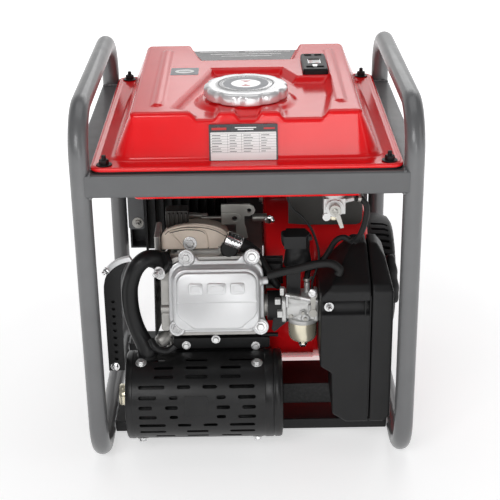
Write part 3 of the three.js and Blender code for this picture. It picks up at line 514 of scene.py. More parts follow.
def frame_loop(side):
    """A tube that is bent at four corners into a closed upright loop."""
    low, high = span(f"{side}_frame_loop")
    radius = (high.x - low.x) / 2
    x = (high.x + low.x) / 2
    bend = 50
    reach_y, low_z, high_z = high.y - radius - bend, low.z + radius + bend, high.z - radius - bend
    steps = 14
    points = []
    for sign_y, z, start in ((1, low_z, 270), (1, high_z, 0), (-1, high_z, 90), (-1, low_z, 180)):
        for i in range(steps + 1):
            turn = math.radians(start + 90 * i / steps)
            points.append((x, sign_y * reach_y + bend * math.cos(turn), z + bend * math.sin(turn)))
    shape = Shape().tube(points, radius, 28, closed=True)
    piece(shape, f"{side}_frame_tube", GREY_PAINT, replaces=(f"{side}_frame_loop",))


def square_tube(node, axis):
    """A square tube with rolled corners in place of a plain bar."""
    low, high = span(node)
    tallest, corner = 26, 3.2
    low.z = max(low.z, high.z - tallest)
    across, along = (1, 0) if axis == "x" else (0, 1)
    outline = rounded((high[across] - low[across]) / 2, (high.z - low.z) / 2, corner,
                      (high[across] + low[across]) / 2, (high.z + low.z) / 2)
    return Shape().prism(outline, low[along], high[along], axis)


def rear_bar():
    """The rear bar with the panel's two tabs."""
    low = span("rear_crossbar")[0]
    shape = square_tube("rear_crossbar", "x")
    half_width, half_height, corner, thickness = 11, 90, 4, 4
    for x in (-154, 154):
        outline = rounded(half_width, half_height, corner, x, low.z + half_height)
        shape.add(Shape().prism(outline, low.y, low.y + thickness, "y"))
    return shape


def weld(points, size=2.1):
    """A ripple of weld metal along a line."""
    route = smooth_route(points, 14)

    def reach(part):
        """The bead's radius at a part of the way along it."""
        ripple = math.sin(part * len(route) * 1.1)
        return size * (0.86 + 0.16 * ripple + 0.2 * noise.noise(Vector((part * 9, size, 0))))

    return Shape().tube(route, reach, 10)


def welds():
    """Beads round the ends of the cross tubes, the side rails and the base rails."""
    shape = Shape()
    low, high = span("front_crossbar")
    rear_low, rear_high = span("rear_crossbar")
    for sign in (-1, 1):
        x, outer_x = sign * 168.2, sign * 187.8
        for face, back in ((low.y, high.y), (rear_high.y, rear_low.y)):
            lean = 1 if face < 0 else -1
            shape.add(weld([
                (x, back, high.z - 0.4), (x, face + lean * 3.4, high.z - 0.2),
                (x, face + lean * 2.6, high.z - 4), (x, face + lean * 2.6, low.z + 4),
                (x, face + lean * 3.4, low.z + 0.2), (x, back, low.z + 0.2),
            ]))
            y = -lean * 163.2
            shape.add(weld([
                (outer_x, y, low.z + 2), (outer_x, y, high.z - 3),
                (sign * 186, y, high.z), (sign * 171, y, high.z), (sign * 168.6, y, high.z - 3),
            ], 1.8))
        for node in ("front_base_rail", "rear_base_rail"):
            rail_low, rail_high = span(node)
            shape.add(weld([
                (sign * 167.6, rail_low.y + 3, rail_high.z - 0.6),
                (sign * 167.6, rail_high.y - 3, rail_high.z - 0.6),
            ], 1.7))
    return shape


def rubber_mount(node):
    """A waisted rubber between two plates, with a nut on the deck where one is seen."""
    low, high = span(node)
    middle = centre(node)
    half = (high.z - low.z) / 2
    body = Shape().lathe([
        (0, -half + 2), (10.6, -half + 2), (11.3, -half + 4), (9.4, -half + 8), (8.9, 0),
        (9.4, half - 8), (11.3, half - 4), (10.6, half - 2), (0, half - 2),
    ], 36)
    plates = Shape().rod(11.4, -half, -half + 2, 36).rod(11.4, half - 2, half, 36)
    place = Matrix.Translation(middle)
    piece(body.place(place), node + "_rubber", RUBBER, replaces=(node,))
    piece(plates.place(place), node + "_plates", STEEL)
    if "left" not in node or "rear" in node:
        deck = span("engine_cradle")[1].z
        bolts(node + "_nut", STEEL, [at(middle.x, middle.y, deck)], 0.25, radius=6.5, head=5,
              washer=9, thread=4, thread_radius=3.5)


def build_frame():
    """The two loops, the tubes and rails between them, the cradle and its rubber mounts."""
    # The side, front and rear square tubes take the darker grey, as painted shade.
    for side in ("left", "right"):
        frame_loop(side)
        piece(square_tube(f"{side}_side_rail", "y"), f"{side}_side_tube", SHADED_GREY_PAINT,
              replaces=(f"{side}_side_rail",), bevel=0.5)
    piece(square_tube("front_crossbar", "x"), "front_cross_tube", SHADED_GREY_PAINT,
          replaces=("front_crossbar",), bevel=0.5)
    piece(rear_bar(), "rear_cross_tube", SHADED_GREY_PAINT, replaces=("rear_crossbar",), bevel=0.5)
    piece(welds(), "weld_beads", GREY_PAINT)
    for node in ("front_base_rail", "rear_base_rail"):
        refined(node, BLACK_STEEL, bevel=1.6, segments=3)
    refined("engine_cradle", BLACK_STEEL, bevel=1.2)
    for end in ("front", "rear"):
        for side in ("left", "right"):
            rubber_mount(f"rubber_mount_{end}_{side}")


# ------------------------------------------------------------------ fuel tank

def step(value, low, high):
    """0 below low, 1 above high, and a smooth rise between."""
    part = min(1, max(0, (value - low) / (high - low)))
    return part * part * (3 - 2 * part)


def edge_distance(point, outline):
    """How far a point lies inside a polygon, negative outside it."""
    x, y = point
    inside = False
    nearest = 1e9
    for (ax, ay), (bx, by) in zip(outline, outline[1:] + outline[:1]):
        run_x, run_y = bx - ax, by - ay
        part = ((x - ax) * run_x + (y - ay) * run_y) / (run_x ** 2 + run_y ** 2)
        part = min(1, max(0, part))
        nearest = min(nearest, math.hypot(x - ax - part * run_x, y - ay - part * run_y))
        if (ay > y) != (by > y) and x < ax + (y - ay) * run_x / run_y:
            inside = not inside
    return nearest if inside else -nearest


class TankTop:
    """Heights of the tank's pressed top: a sunk field with ridges, a cap boss and two beads."""
    high, low = 432.0, 424.0
    fillings = [(-56, -175), (-60, -139), (-80, -127), (-52, -20), (-40, 30), (44, 30), (60, -10),
                (97, -10), (97, -70), (84, -175)]
    label = [(-54, 70), (58, 70), (75, 175), (-76, 175)]
    ridges = ((-31, -11), (15, 37))
    beads = ((-97, -124, 117), (104.5, -117, 113))
    boss_radius = 53.0

    def __init__(self, cap):
        self.cap = cap

    def height(self, x, y):
        """The height of the top at a place."""
        wall = 6.5
        sunk = step(edge_distance((x, y), self.fillings), -wall * 0.4, wall)
        from_cap = math.hypot(x - self.cap.x, y - self.cap.y)
        boss = 1 - step(from_cap, self.boss_radius - 4, self.boss_radius + 5)
        sunk *= 1 - 0.55 * boss
        if y < self.cap.y:
            for left, right in self.ridges:
                sides = step(x, left - 4, left + 3) * (1 - step(x, right - 3, right + 4))
                sunk *= 1 - 0.9 * sides * step(from_cap, 30, 60)
        sunk = max(sunk, step(edge_distance((x, y), self.label), -2, 3.5))
        height = self.high - 0.3 - (self.high - self.low) * sunk
        for bead_x, start, end in self.beads:
            along = min(max(y, start + 6), end - 6)
            height += 2.2 * (1 - step(math.hypot(x - bead_x, y - along), 3, 7.5))
        return height


FLANGE_LOW, FLANGE_HIGH, FLANGE_CORNER = 377.0, 380.0, 12


def tank_rings():
    """Rings of the whole tank skin, from the middle of its floor to the middle of its top."""
    low, high = span("fuel_tank")
    top = TankTop(centre("fuel_cap"))
    core_x, core_y = 120.0, 137.0
    corner, side = 12, 100
    core_ring = rounded(core_x, core_y, 0.001, corner=corner, side=side)
    normals = []
    for start in (0, 90, 180, 270):
        for i in range(corner + 1):
            turn = math.radians(start + 90 * i / corner)
            normals.append((math.cos(turn), math.sin(turn)))
        normals += [normals[-1]] * (side - 1)

    def ring(out_x, out_y, z):
        """The core's outline at a height, moved out in x and y."""
        return [(x + out_x * nx, y + out_y * ny, z)
                for (x, y), (nx, ny) in zip(core_ring, normals)]

    def flange(inset, z):
        """The seam flange's outline at a height, moved in from its edge."""
        return [(x, y, z) for x, y in rounded(
            high.x - inset, high.y - inset, FLANGE_CORNER, corner=corner, side=side)]

    rings = []
    for part in (0.02, 0.3, 0.6, 0.85, 1.0):
        rings.append([(x * part, y * part, low.z) for x, y, _ in ring(1, 9, low.z)])
    for i in range(1, 7):
        turn = math.radians(90 * i / 6)
        rings.append(ring(1 + 10 * math.sin(turn), 9 + 8 * math.sin(turn),
                          low.z + 9 * (1 - math.cos(turn))))
    rings.append(ring(17, 19, 366))
    for out_x, out_y, z in ((17.6, 19.4, 372), (19.5, 21, 375.6), (23, 24, FLANGE_LOW)):
        rings.append(ring(out_x, out_y, z))
    for out, z in ((3, FLANGE_LOW), (0.6, FLANGE_LOW + 0.2), (0, FLANGE_LOW + 1.3),
                   (0.1, FLANGE_HIGH + 0.6), (1.2, FLANGE_HIGH + 1.5), (3, FLANGE_HIGH + 1.6),
                   (4.6, FLANGE_HIGH + 0.9), (6, FLANGE_HIGH), (8, FLANGE_HIGH)):
        rings.append(flange(out, z))
    fillet = 6.0
    foot_x, foot_y = 23.5, 19.0
    for i in range(7):
        turn = math.radians(90 * i / 6)
        out = fillet * (1 - math.sin(turn))
        rise = fillet * (1 - math.cos(turn))
        rings.append(ring(foot_x + out, foot_y + out, FLANGE_HIGH + rise))

    crown = 6.0
    foot = FLANGE_HIGH + fillet
    lean_x, lean_y = foot_x - 6.5, foot_y - 11.0

    def wall(z, inward=0.0):
        """How far the wall stands out from the core at a height, in x and y."""
        part = (z - foot) / (top.high - crown - foot)
        return foot_x - lean_x * part - inward, foot_y - lean_y * part - inward

    shoulder = []
    for (x, y), (nx, ny) in zip(core_ring, normals):
        out_x, out_y = wall(top.high - crown, crown)
        shoulder.append(top.height(x + out_x * nx, y + out_y * ny))

    def wall_ring(height_of, inward=0.0):
        """The wall's outline at heights that follow the uneven edge of the top."""
        points = []
        for (x, y), (nx, ny), peak in zip(core_ring, normals, shoulder):
            z = height_of(peak)
            out_x, out_y = wall(min(z, peak - crown), inward)
            points.append((x + out_x * nx, y + out_y * ny, z))
        return points

    wall_steps = 8
    for k in range(1, wall_steps + 1):
        rings.append(wall_ring(lambda peak: foot + (peak - crown - foot) * k / wall_steps))
    for i in range(1, 8):
        turn = math.radians(90 * i / 7)
        drop = crown * (1 - math.sin(turn))
        rings.append(wall_ring(lambda peak: peak - drop, crown * (1 - math.cos(turn))))
    inner = rings[-1]
    steps = 62
    for k in range(1, steps + 1):
        part = max(1 - k / steps, 0.004)
        rings.append([
            (x * part, y * part, top.height(x * part, y * part)) for x, y, _ in inner
        ])
    return rings


def fuel_cap():
    """The metal filler cap with a lobed skirt and a printed top, and the neck under it."""
    low, high = span("fuel_cap")
    middle = centre("fuel_cap")
    radius = (high.y - low.y) / 2
    lobes, per_lobe = 11, 16
    skirt = 430.4

    def lobed(reach, z, depth):
        """A circle with dips of the given depth between its lobes."""
        points = []
        for i in range(lobes * per_lobe):
            turn = 2 * math.pi * i / (lobes * per_lobe)
            dip = depth * max(0, math.cos(turn * lobes)) ** 1.6
            points.append(((reach - dip) * math.cos(turn), (reach - dip) * math.sin(turn), z))
        return points

    rows = [
        (radius - 2.5, skirt, 1.5), (radius - 0.4, skirt + 0.8, 2.4), (radius, skirt + 2, 2.6),
        (radius - 0.2, skirt + 9, 2.6), (radius - 1.2, skirt + 11.2, 2.2),
        (radius - 3.2, skirt + 12.4, 1.4), (radius - 6, skirt + 12.9, 0.5),
        (radius - 9, skirt + 13.1, 0), (36.5, skirt + 13.2, 0), (35.6, skirt + 12.8, 0),
        (33.2, skirt + 12.8, 0), (32.6, skirt + 13.4, 0), (20, high.z - 0.1, 0), (0.5, high.z, 0),
    ]
    place = at(middle.x, middle.y)
    shape = Shape().rings([lobed(*row) for row in rows])
    piece(shape.place(place), "filler_cap_shell", CAP_METAL, "filler_cap", ("fuel_cap",), angle=60)

    def disc(outer, inner, z, name, look):
        """A thin printed ring on the cap's top."""
        plate = Shape().pipe(inner, outer, z, z + 0.25, 72)
        piece(plate.place(place), name, look, "filler_cap")

    disc(31.6, 29.6, high.z - 0.42, "cap_ring_outer", LABEL_DARK)
    disc(25.5, 16.5, high.z - 0.2, "cap_band", LABEL_GREY)
    tick = Shape().block((27.0, -0.35, high.z - 0.32), (28.8, 0.35, high.z - 0.1))
    ticks = Shape().around(tick, 36)
    piece(ticks.place(place), "cap_ticks", LABEL_DARK, "filler_cap")
    mark = Shape().prism([(-6, -11), (6, -11), (0, -4.5)], high.z - 0.2, high.z - 0.02)
    arrows = Shape().around(mark, 2)
    piece(arrows.place(place), "cap_arrows", LABEL_RED, "filler_cap")
    seat = TankTop.low + 1.5
    neck = Shape().hollow([
        (29, seat), (44.5, seat), (42.8, seat + 1.7), (41.2, seat + 3.9), (40, seat + 4.5),
        (29, seat + 4.5),
    ], 72)
    piece(neck.place(place), "filler_neck", RED_PAINT)


def fuel_gauge():
    """The level gauge's housing, with its pockets, dial, marks and button."""
    low, high = span("fuel_gauge")
    middle = centre("fuel_gauge")
    half_x, half_y = (high.x - low.x) / 2, (high.y - low.y) / 2
    body = Shape().tiers([
        (half_x, half_y, 3.5, low.z - 1.5), (half_x, half_y, 3.5, high.z - 2),
        (half_x - 1.4, half_y - 1.4, 3, high.z),
    ])
    pockets = Shape().block((-7.5, -9, high.z - 1.6), (7.5, 11, high.z + 3))
    for y in (-27, 27):
        for x in (-10.5, 2):
            pockets.block((x, y - 5.5, high.z - 1.2), (x + 8.5, y + 5.5, high.z + 3))
    place = at(middle.x, middle.y)
    piece(body.place(place), "gauge_housing", BLACK_PLASTIC, replaces=("fuel_gauge",),
          bevel=0.4, tools=pockets.place(place))
    dial = Shape().block((-7.2, -8.7, high.z - 1.7), (7.2, 10.7, high.z - 1.2))
    piece(dial.place(place), "gauge_dial", LABEL_WHITE)
    marks = Shape()
    for i in range(5):
        y = -6.5 + 3.6 * i
        marks.block((-5.8, y, high.z - 1.2), (-2.6 if i % 2 else -1.2, y + 0.6, high.z - 1.1))
    marks.block((1.2, -7, high.z - 1.2), (5.2, -3, high.z - 1.1))
    piece(marks.place(place), "gauge_marks", LABEL_RED)
    button = Shape().tiers([(3.2, 3.4, 1, high.z - 0.9, 0, -19.5),
                            (3.0, 3.2, 1, high.z + 0.5, 0, -19.5)])
    piece(button.place(place), "gauge_button", CHROME, bevel=0.3)
    bars = Shape()
    for x in (-7.6, 7.0):
        bars.block((x, -8.8, high.z - 1.2), (x + 0.6, 10.8, high.z - 0.2))
    piece(bars.place(place), "gauge_window_rim", CHROME)


def label(name, half_x, half_y, place, look, thickness):
    """A thin plate with rounded corners."""
    shape = Shape().tiers([(half_x, half_y, 1.5, 0), (half_x, half_y, 1.5, thickness)])
    piece(shape.place(place), name, look)


def rating_plate():
    """A plain data plate on the tank's front wall: a dark head, ruled rows and no words."""
    wall_lean = math.atan2(8, 41)
    place = at(-3.4, -155.4, 399.6) @ Matrix.Rotation(math.radians(90) - wall_lean, 4, "X")
    label("rating_plate", 37.0, 20.0, place, LABEL_DARK, 0.5)
    sheet = Shape().tiers([(35.4, 15.2, 0.8, 0.5, 0, -3.8), (35.4, 15.2, 0.8, 0.6, 0, -3.8)])
    piece(sheet.place(place), "rating_plate_sheet", LABEL_WHITE)
    rules = Shape()
    rows, row_height, columns = 8, 2.9, (-36, -17, -2, 17, 36)
    bottom, top, line = 0.6, 0.66, 0.22
    for i in range(rows):
        y = 9.6 - row_height * i
        rules.block((columns[0], y, bottom), (columns[-1], y + line, top))
    for x in columns:
        rules.block((x, 9.6 - row_height * (rows - 1), bottom), (x + line, 9.8, top))
    for i in range(rows - 1):
        y = 7.7 - row_height * i
        for k, x in enumerate(columns[:-1]):
            run = 6.5 + 5 * noise.noise(Vector((i * 1.7, k * 2.3, 0.5))) + (3 if k % 2 == 0 else 0)
            rules.block((x + 2.2, y, bottom), (x + 2.2 + max(3, run), y + 0.65, top))
    piece(rules.place(place), "rating_plate_rules", LABEL_DARK)
    head = Shape()
    for x0, x1, y in ((-9, 14, 15.6), (-6, 11, 13.6)):
        head.block((x0, y, 0.5), (x1, y + 1.1, 0.58))
    piece(head.place(place), "rating_plate_head", LABEL_WHITE)
    accent = Shape().block((-34, 13.8, 0.5), (-18, 16.4, 0.58))
    accent.block((22, 14.2, 0.5), (34, 16, 0.58))
    piece(accent.place(place), "rating_plate_accent", LABEL_RED)


def top_labels():
    """Plain bars and fields in place of the printed labels on the tank's top."""
    shelf = TankTop.low
    back = [(-49, 77), (53, 77), (65, 143), (-67, 143)]
    shape = Shape().prism(back, shelf - 0.4, shelf + 0.05)
    piece(shape, "rear_label", LABEL_DARK)
    lines = Shape()
    for y, x0, x1 in ((136, -58, -8), (136, 0, 58), (125, -44, 46), (115, -30, 34)):
        lines.block((x0, y, shelf - 0.2), (x1, y + 2.4, shelf + 0.12))
    piece(lines, "rear_label_bars", LABEL_WHITE)
    stripe = Shape().prism([(-38, 84), (30, 84), (28, 97), (-36, 97)], shelf, shelf + 0.1)
    piece(stripe, "rear_label_band", LABEL_RED)
    high = TankTop.high - 0.3
    place = at(-72.5, 18, high - 0.1)
    label("side_sticker", 16.5, 15.5, place, LABEL_GREY, 0.3)
    oval = Shape().prism([(11.5 * x, 8.5 * y) for x, y in circle(1, 48)], 0.3, 0.42)
    piece(oval.place(place), "side_sticker_oval", LABEL_WHITE)
    bar = Shape().block((-7, -1.2, 0.42), (7, 1.2, 0.5))
    piece(bar.place(place), "side_sticker_bar", LABEL_GREY)


def tank_bolts():
    """Four flanged bolts that hold the tank to the side rails."""
    shape = bolt(5.4, 5.2, washer=8.6, thread=4.5, thread_radius=2.6)
    shape.rod(7.2, -0.2, 0.4, 24)
    parts = [(shape, at(x, y, FLANGE_HIGH + 0.4)) for x in (-153.5, 153.5) for y in (-166, 171)]
    piece(gather(parts), "tank_bolts", BLACK_STEEL, bevel=0.25)


def tap():
    """The fuel tap with its lever's screw, its sediment nut and the plate behind it."""
    refined("fuel_tap", DIE_CASTING, bevel=0.7)
    refined("fuel_tap_lever", STEEL, "tap_lever", bevel=0.5)
    plate = Shape().prism([(48.5, 331), (48.5, 262), (70, 260), (130, 259.5), (135, 261.5),
                           (137, 266), (137, 331)], -53, -51.5, "y")
    piece(plate, "tap_back_plate", DARK_PLATE, bevel=0.5)
    tap_x = 97
    front = span("fuel_tap")[0].y
    nut = Shape().hollow([(3.2, 0), (5.4, 0), (5.4, 3), (4.6, 4), (3.2, 4)], 24)
    nut.lathe([(0, -10), (4.4, -10), (4.4, 0.4), (3.4, 1.4), (0, 1.4)], 24)
    piece(nut.place(facing((tap_x, -125.5, 301), (0, 0, -1))), "tap_sediment_nut", BRASS)
    screw = Shape().lathe([(0, 0), (3.4, 0), (3.4, 0.8), (2.6, 1.4), (0, 1.5)], 20)
    slot = Shape().block((-3.5, -0.4, 0.8), (3.5, 0.4, 2))
    head = facing((tap_x, front - 6.2, centre("fuel_tap_lever").z + 7), (0, -1, 0))
    piece(screw.place(head), "tap_lever_screw", STEEL, "tap_lever", tools=slot.place(head))


def build_tank():
    """The tank's skin, its seam, a black sheet under it for painted shade, and everything fixed to
    it.
    """
    piece(Shape().rings(tank_rings()), "fuel_tank_shell", RED_PAINT, replaces=("fuel_tank",),
          angle=50)
    low, high = span("fuel_tank")
    gasket = Shape().tiers([
        (high.x - inset, high.y - inset, FLANGE_CORNER, z)
        for inset, z in ((0.6, FLANGE_LOW - 1.9), (0.6, FLANGE_LOW + 0.1),
                         (22, FLANGE_LOW + 0.1), (22, FLANGE_LOW - 1.9))
    ], loop=True)
    piece(gasket, "tank_gasket", RUBBER)
    # A black sheet over the tank's underside: painted shade that keeps the space under the tank
    # dark.
    shield = Shape().tiers([(119, 142, 18, low.z - 1.6), (119, 142, 18, low.z - 0.4)])
    shield_top = FLANGE_LOW - 0.6
    shield.tiers([
        (127, 149.6, 17, low.z + 2), (137.6, 157, 17, low.z + 9), (137.6, 157, 17, shield_top),
        (136.9, 156.3, 17, shield_top), (136.9, 156.3, 17, low.z + 9.2),
        (126.6, 149, 17, low.z + 2.4),
    ], loop=True)
    piece(shield, "tank_underside_painted_shade", BLACK_STEEL)
    fuel_cap()
    fuel_gauge()
    rating_plate()
    top_labels()
    tank_bolts()
    tap()
    refined("fuel_float", WHITE_PLASTIC, "level_sender", bevel=0.4)


# ------------------------------------------------------------------ engine

def joint(name):
    """A joint's record in the CAD model."""
    return next(j for j in frame["joints"] if j["name"] == name)


CRANK = Vector(joint("crank_turn")["pos_m"]) / MM
CRANK_LINE = facing((0, CRANK.y, CRANK.z), (1, 0, 0))
CYLINDER = Matrix.Translation(CRANK) @ Matrix.Rotation(math.radians(73), 4, "X")
# The valve cover's joint and outer face, as heights along the cylinder from the crank.
COVER_BASE, COVER_FACE = 178.3, 205.0
COVER_EARS = ((-33, 46), (43, 46), (-45, -36), (52, -36))


def valve_cover():
    """The cover: an eared flange, a stepped dome with a spout, its face, bolts and gasket."""
    body = Shape()
    body.tiers([(55, 42, 17, COVER_BASE, 1, 0), (55, 42, 17, COVER_BASE + 5, 1, 0)])
    body.tiers([(51.5, 38, 17, COVER_BASE + 4, 1, -1), (50, 36.5, 16, COVER_BASE + 14, 1, -1),
                (49.6, 36, 15, COVER_BASE + 20, 1, -1), (48.6, 35, 14, COVER_FACE - 4.4, 1.5, -1)])
    for x, y in COVER_EARS:
        middle = Vector((x * 0.72, y * 0.55, 0))
        ear = Vector((x, y, 0))
        web = (ear - middle).normalized()
        side = Vector((-web.y, web.x, 0))
        outline = [middle + side * 17, ear + side * 8.6, ear - side * 8.6, middle - side * 17]
        body.prism([(p.x, p.y) for p in outline], COVER_BASE, COVER_BASE + 4.6)
        body.prism(circle(9.3, 28, x, y), COVER_BASE, COVER_BASE + 9)
    spout = facing((44, 17, COVER_BASE + 12), (17, 2, -2))
    body.add(Shape().lathe([(0, 0), (6, 0), (6, 9), (4.6, 10), (4.6, 17), (0, 17)], 24), spout)
    piece(body, "valve_cover_casting", BRIGHT_ALUMINIUM, replaces=("valve_cover",), voxel=0.9,
          rounds=3, keep=0.6, place=CYLINDER)
    valve_cover_face()
    bolts("valve_cover_bolts", ZINC,
          [CYLINDER @ at(x, y, COVER_BASE + 8.9) for x, y in COVER_EARS],
          radius=4.6, head=4.4, washer=7.2)
    gasket = Shape().tiers([(55.4, 42.4, 17, COVER_BASE - 0.4, 1, 0),
                            (55.4, 42.4, 17, COVER_BASE + 0.5, 1, 0)])
    piece(gasket.place(CYLINDER), "valve_cover_gasket", RUBBER)


def valve_cover_face():
    """The flat panel on the cover's dome, cut by a groove, with three raised bars."""
    x_middle, y_middle = 2, -2
    top = rounded(46.4, 32.6, 13, x_middle, y_middle)
    outline = top[:14] + [(-44.4, -15), (-41, -21.6), (-26, -33.5), (-22, -34.6), (26, -34.6),
                          (30, -33.5), (45, -21.6), (48.4, -15)]

    def shrunk(inset):
        """The panel's outline, moved in towards its middle."""
        return [(x_middle + (x - x_middle) * (1 - inset / 46),
                 y_middle + (y - y_middle) * (1 - inset / 33)) for x, y in outline]

    panel = Shape().layers([
        (shrunk(0), COVER_FACE - 6), (shrunk(0), COVER_FACE - 1.8), (shrunk(0.7), COVER_FACE - 0.7),
        (shrunk(2), COVER_FACE - 0.3),
    ])
    groove = Shape().block((-60, -4.2, COVER_FACE - 1.2), (60, -2.6, COVER_FACE + 3))
    piece(panel, "valve_cover_panel", BRIGHT_ALUMINIUM, angle=50, tools=groove, place=CYLINDER)
    bars = Shape()
    bar_y = 12
    for x, half in ((-22, 8.5), (2, 11), (26, 8.5)):
        bars.tiers([(half, 6.6, 3.2, COVER_FACE - 0.6, x, bar_y),
                    (half, 6.6, 3.2, COVER_FACE + 0.4, x, bar_y),
                    (half - 0.9, 5.7, 2.6, COVER_FACE + 1.1, x, bar_y)])
        bars.tiers([(half - 3, 3.6, 2.0, COVER_FACE + 0.9, x, bar_y),
                    (half - 3.4, 3.2, 1.8, COVER_FACE + 1.5, x, bar_y)])
    piece(bars.place(CYLINDER), "valve_cover_bars", BRIGHT_ALUMINIUM, angle=35)


def crankcase():
    """The castings round the crank, with their bolts, ribs and studs."""
    refined("crankcase", CAST_ALUMINIUM, bevel=1.0)
    refined("crankcase_cover", CAST_ALUMINIUM, bevel=1.2)
    refined("cylinder_head", CAST_ALUMINIUM, bevel=0.7)
    low, high = span("crankcase_cover")
    spots = ((low.y + 14, low.z + 10), (low.y + 14, high.z - 22), (high.y - 34, high.z - 9),
             (high.y - 9, high.z - 40), (high.y - 9, low.z + 10), (low.y + 70, low.z + 8),
             (low.y + 55, high.z - 9))
    bolts("crankcase_bolts", STEEL, [facing((low.x + 6, y, z), (-1, 0, 0)) for y, z in spots],
          radius=4.6, head=4.2, washer=6.8)
    ribs = Shape()
    hub = Vector((CRANK.y, CRANK.z))
    for i in range(6):
        turn = math.radians(30 + 60 * i)
        out = Vector((math.cos(turn), math.sin(turn)))
        tip = hub + 56 * out
        root = hub + 30 * out
        side = 1.8 * Vector((-math.sin(turn), math.cos(turn)))
        ribs.prism([tuple(p) for p in (root + side, tip + side, tip - side, root - side)],
                   low.x + 3.6, low.x + 8, "x")
    piece(ribs, "crankcase_cover_ribs", CAST_ALUMINIUM, bevel=0.8)
    refined("oil_dipstick", BLACK_PLASTIC, "dipstick", bevel=0.8)
    refined("lifting_bracket", STEEL, bevel=0.5)
    studs = Shape()
    for i in range(5):
        z = 150 + 14 * i
        studs.tube([(low.x + 4, low.y + 4, z), (low.x + 4, low.y - 3, z)], 2.4, 12)
    piece(studs, "crankcase_studs", STEEL)


def air_guide():
    """The tan sheet casting over the cylinder, with a pressed step and a flange bolt."""
    refined("cylinder_air_guide", TAN_CASTING, bevel=1.6, segments=3)
    face = 134.2
    outer = [(-60, 70), (-54.6, 74), (-40.1, 77.6), (-30.9, 78.2), (-20, 77.8), (-8, 76),
             (2.5, 72.4), (12, 67)]
    inner = [(-54.6, 71.5), (-40, 74.4), (-30.9, 74.8), (-19, 73.6), (-12.6, 70.4), (-10, 64),
             (-9, 56), (-8.7, 52)]
    boss = [(-52, 69), (-45, 61), (-39.5, 54), (-39, 51)]
    ridge = Shape()
    for line, reach in ((outer, 1.5), (inner, 1.2), (boss, 0.8)):
        route = smooth_route([(x, y, face - 0.2) for x, y in line], 5)
        ridge.tube(route, reach, 10)
    piece(ridge.place(CYLINDER), "air_guide_ridges", TAN_CASTING)
    # Thin black lines beside the ridges: painted shade in the creases of the pressed step.
    crease_lines_shade = Shape()
    for line, shift in ((outer, 1.7), (inner, 1.5)):
        crease_lines_shade.tube(smooth_route([(x, y - shift, face - 0.1) for x, y in line], 5), 0.5, 8)
    piece(crease_lines_shade.place(CYLINDER), "air_guide_painted_crease_shade", BLACK_PLASTIC)
    bolts("air_guide_bolt", ZINC, [CYLINDER @ at(-30.6, 57, face)], 0.4, radius=5.2, head=3.6,
          washer=8.4)


def plug_and_lead():
    """The plug cap's ribbed sleeve and boot, its lead, the seal round it and the coil."""
    sleeve = Shape().hollow([(6.4, 0), (9.4, 0), (9.4, 18), (8.6, 19.5), (6.4, 19.5)], 36)
    for i in range(4):
        z = 3 + 4 * i
        sleeve.hollow([(9.2, z), (9.9, z + 0.5), (9.9, z + 1.3), (9.2, z + 1.8)], 36)
    start, end = Vector((-26, -97, 263.2)), Vector((-7.5, -97.6, 254.6))
    tip = Vector((10.8, -98, 242.2))
    piece(sleeve.place(facing(start, end - start)), "plug_cap_sleeve", CHROME,
          replaces=("ignition_lead",))
    boot = Shape().tube(smooth_route([end - (end - start) * 0.1, (-3, -97.6, 252.4),
                                      (4, -97.8, 247.6), tip]), lambda t: 8.4 - 2.0 * t, 28)
    for part in (0.4, 0.65, 0.9):
        ring = Shape().pipe(5.5, 8.8 - 1.8 * part, -0.8, 0.8, 28)
        boot.add(ring, facing(end.lerp(tip, part), tip - end))
    piece(boot, "plug_cap_boot", RUBBER)
    hose("ignition_lead_hose", [
        (6, -98, 246.4), (13, -98.6, 238.6), (19, -100, 229), (26.6, -104, 216.5),
        (32, -107, 208.6), (34, -105, 204.6), (31, -99, 204.6), (29, -96, 206),
    ], 4.1, sides=22)
    well = Shape().lathe([(0, -9), (9.6, -9), (10.4, -6), (10.4, 5), (9, 7), (0, 7)], 32)
    piece(well.place(facing((-22.5, -101, 250.5), (0.1, -0.9, 0.45))), "plug_well_seal", RUBBER,
          bevel=0.4)
    refined("spark_plug", STEEL, bevel=0.3)
    refined("ignition_coil", BLACK_PLASTIC, bevel=0.8)
    core = Shape()
    x, y, z = centre("ignition_coil")
    for i in range(7):
        core.block((x - 9, y - 15 + i * 1.1, z - 16), (x + 9, y - 14.2 + i * 1.1, z - 13))
    piece(core, "ignition_coil_laminations", STEEL)


def regulator_and_tubes():
    """The small finned box, the cross tube and the rods behind the cylinder."""
    box_low, box_high = Vector((-99, -42, 254)), Vector((-72, -22, 276))
    body = Shape().block(box_low, box_high)
    for i in range(5):
        x = box_low.x + 3 + i * 5.2
        body.block((x, box_low.y - 4, box_low.z + 2), (x + 2, box_low.y + 1, box_high.z - 2))
    piece(body, "voltage_regulator", DARK_PLATE, bevel=0.7)
    feet = Shape()
    for x in (-96, -80):
        feet.block((x, box_high.y - 6, 209.5), (x + 6, box_high.y - 3, box_low.z + 4))
    piece(feet, "regulator_feet", STEEL, bevel=0.5)
    tube = Shape().tube([(-98, 6, 251), (-64, 6, 251), (-58, 6, 250)], 3.6, 20)
    tube.tube([(-60, 6, 250.2), (-50, 4, 252)], 2.8, 16)
    piece(tube, "cross_tube", STEEL)
    rods = Shape().tube([(-57, -6, 252.5), (-31, -6, 252.5)], 2.0, 14)
    rods.tube([(6, 8, 246), (24, 8, 246)], 5.2, 22)
    piece(rods, "engine_tie_rods", STEEL)
    lobe = Shape().prism([(-32, 255), (-15.5, 255), (-11, 257), (-8.4, 260.5), (-8, 264),
                          (-10, 268), (-14, 270), (-32, 270)], -36.2, -34, "y")
    hole = Shape().prism(circle(3.4, 24, -16, 262.4), -40, -30, "y")
    piece(lobe, "lifting_bracket_lobe", STEEL, bevel=0.5, tools=hole)
    bolts("shroud_screw", CHROME, [facing((27, -5, 247), (-0.3, -1, 0.2))], radius=4.2, head=3.2,
          washer=6.4)


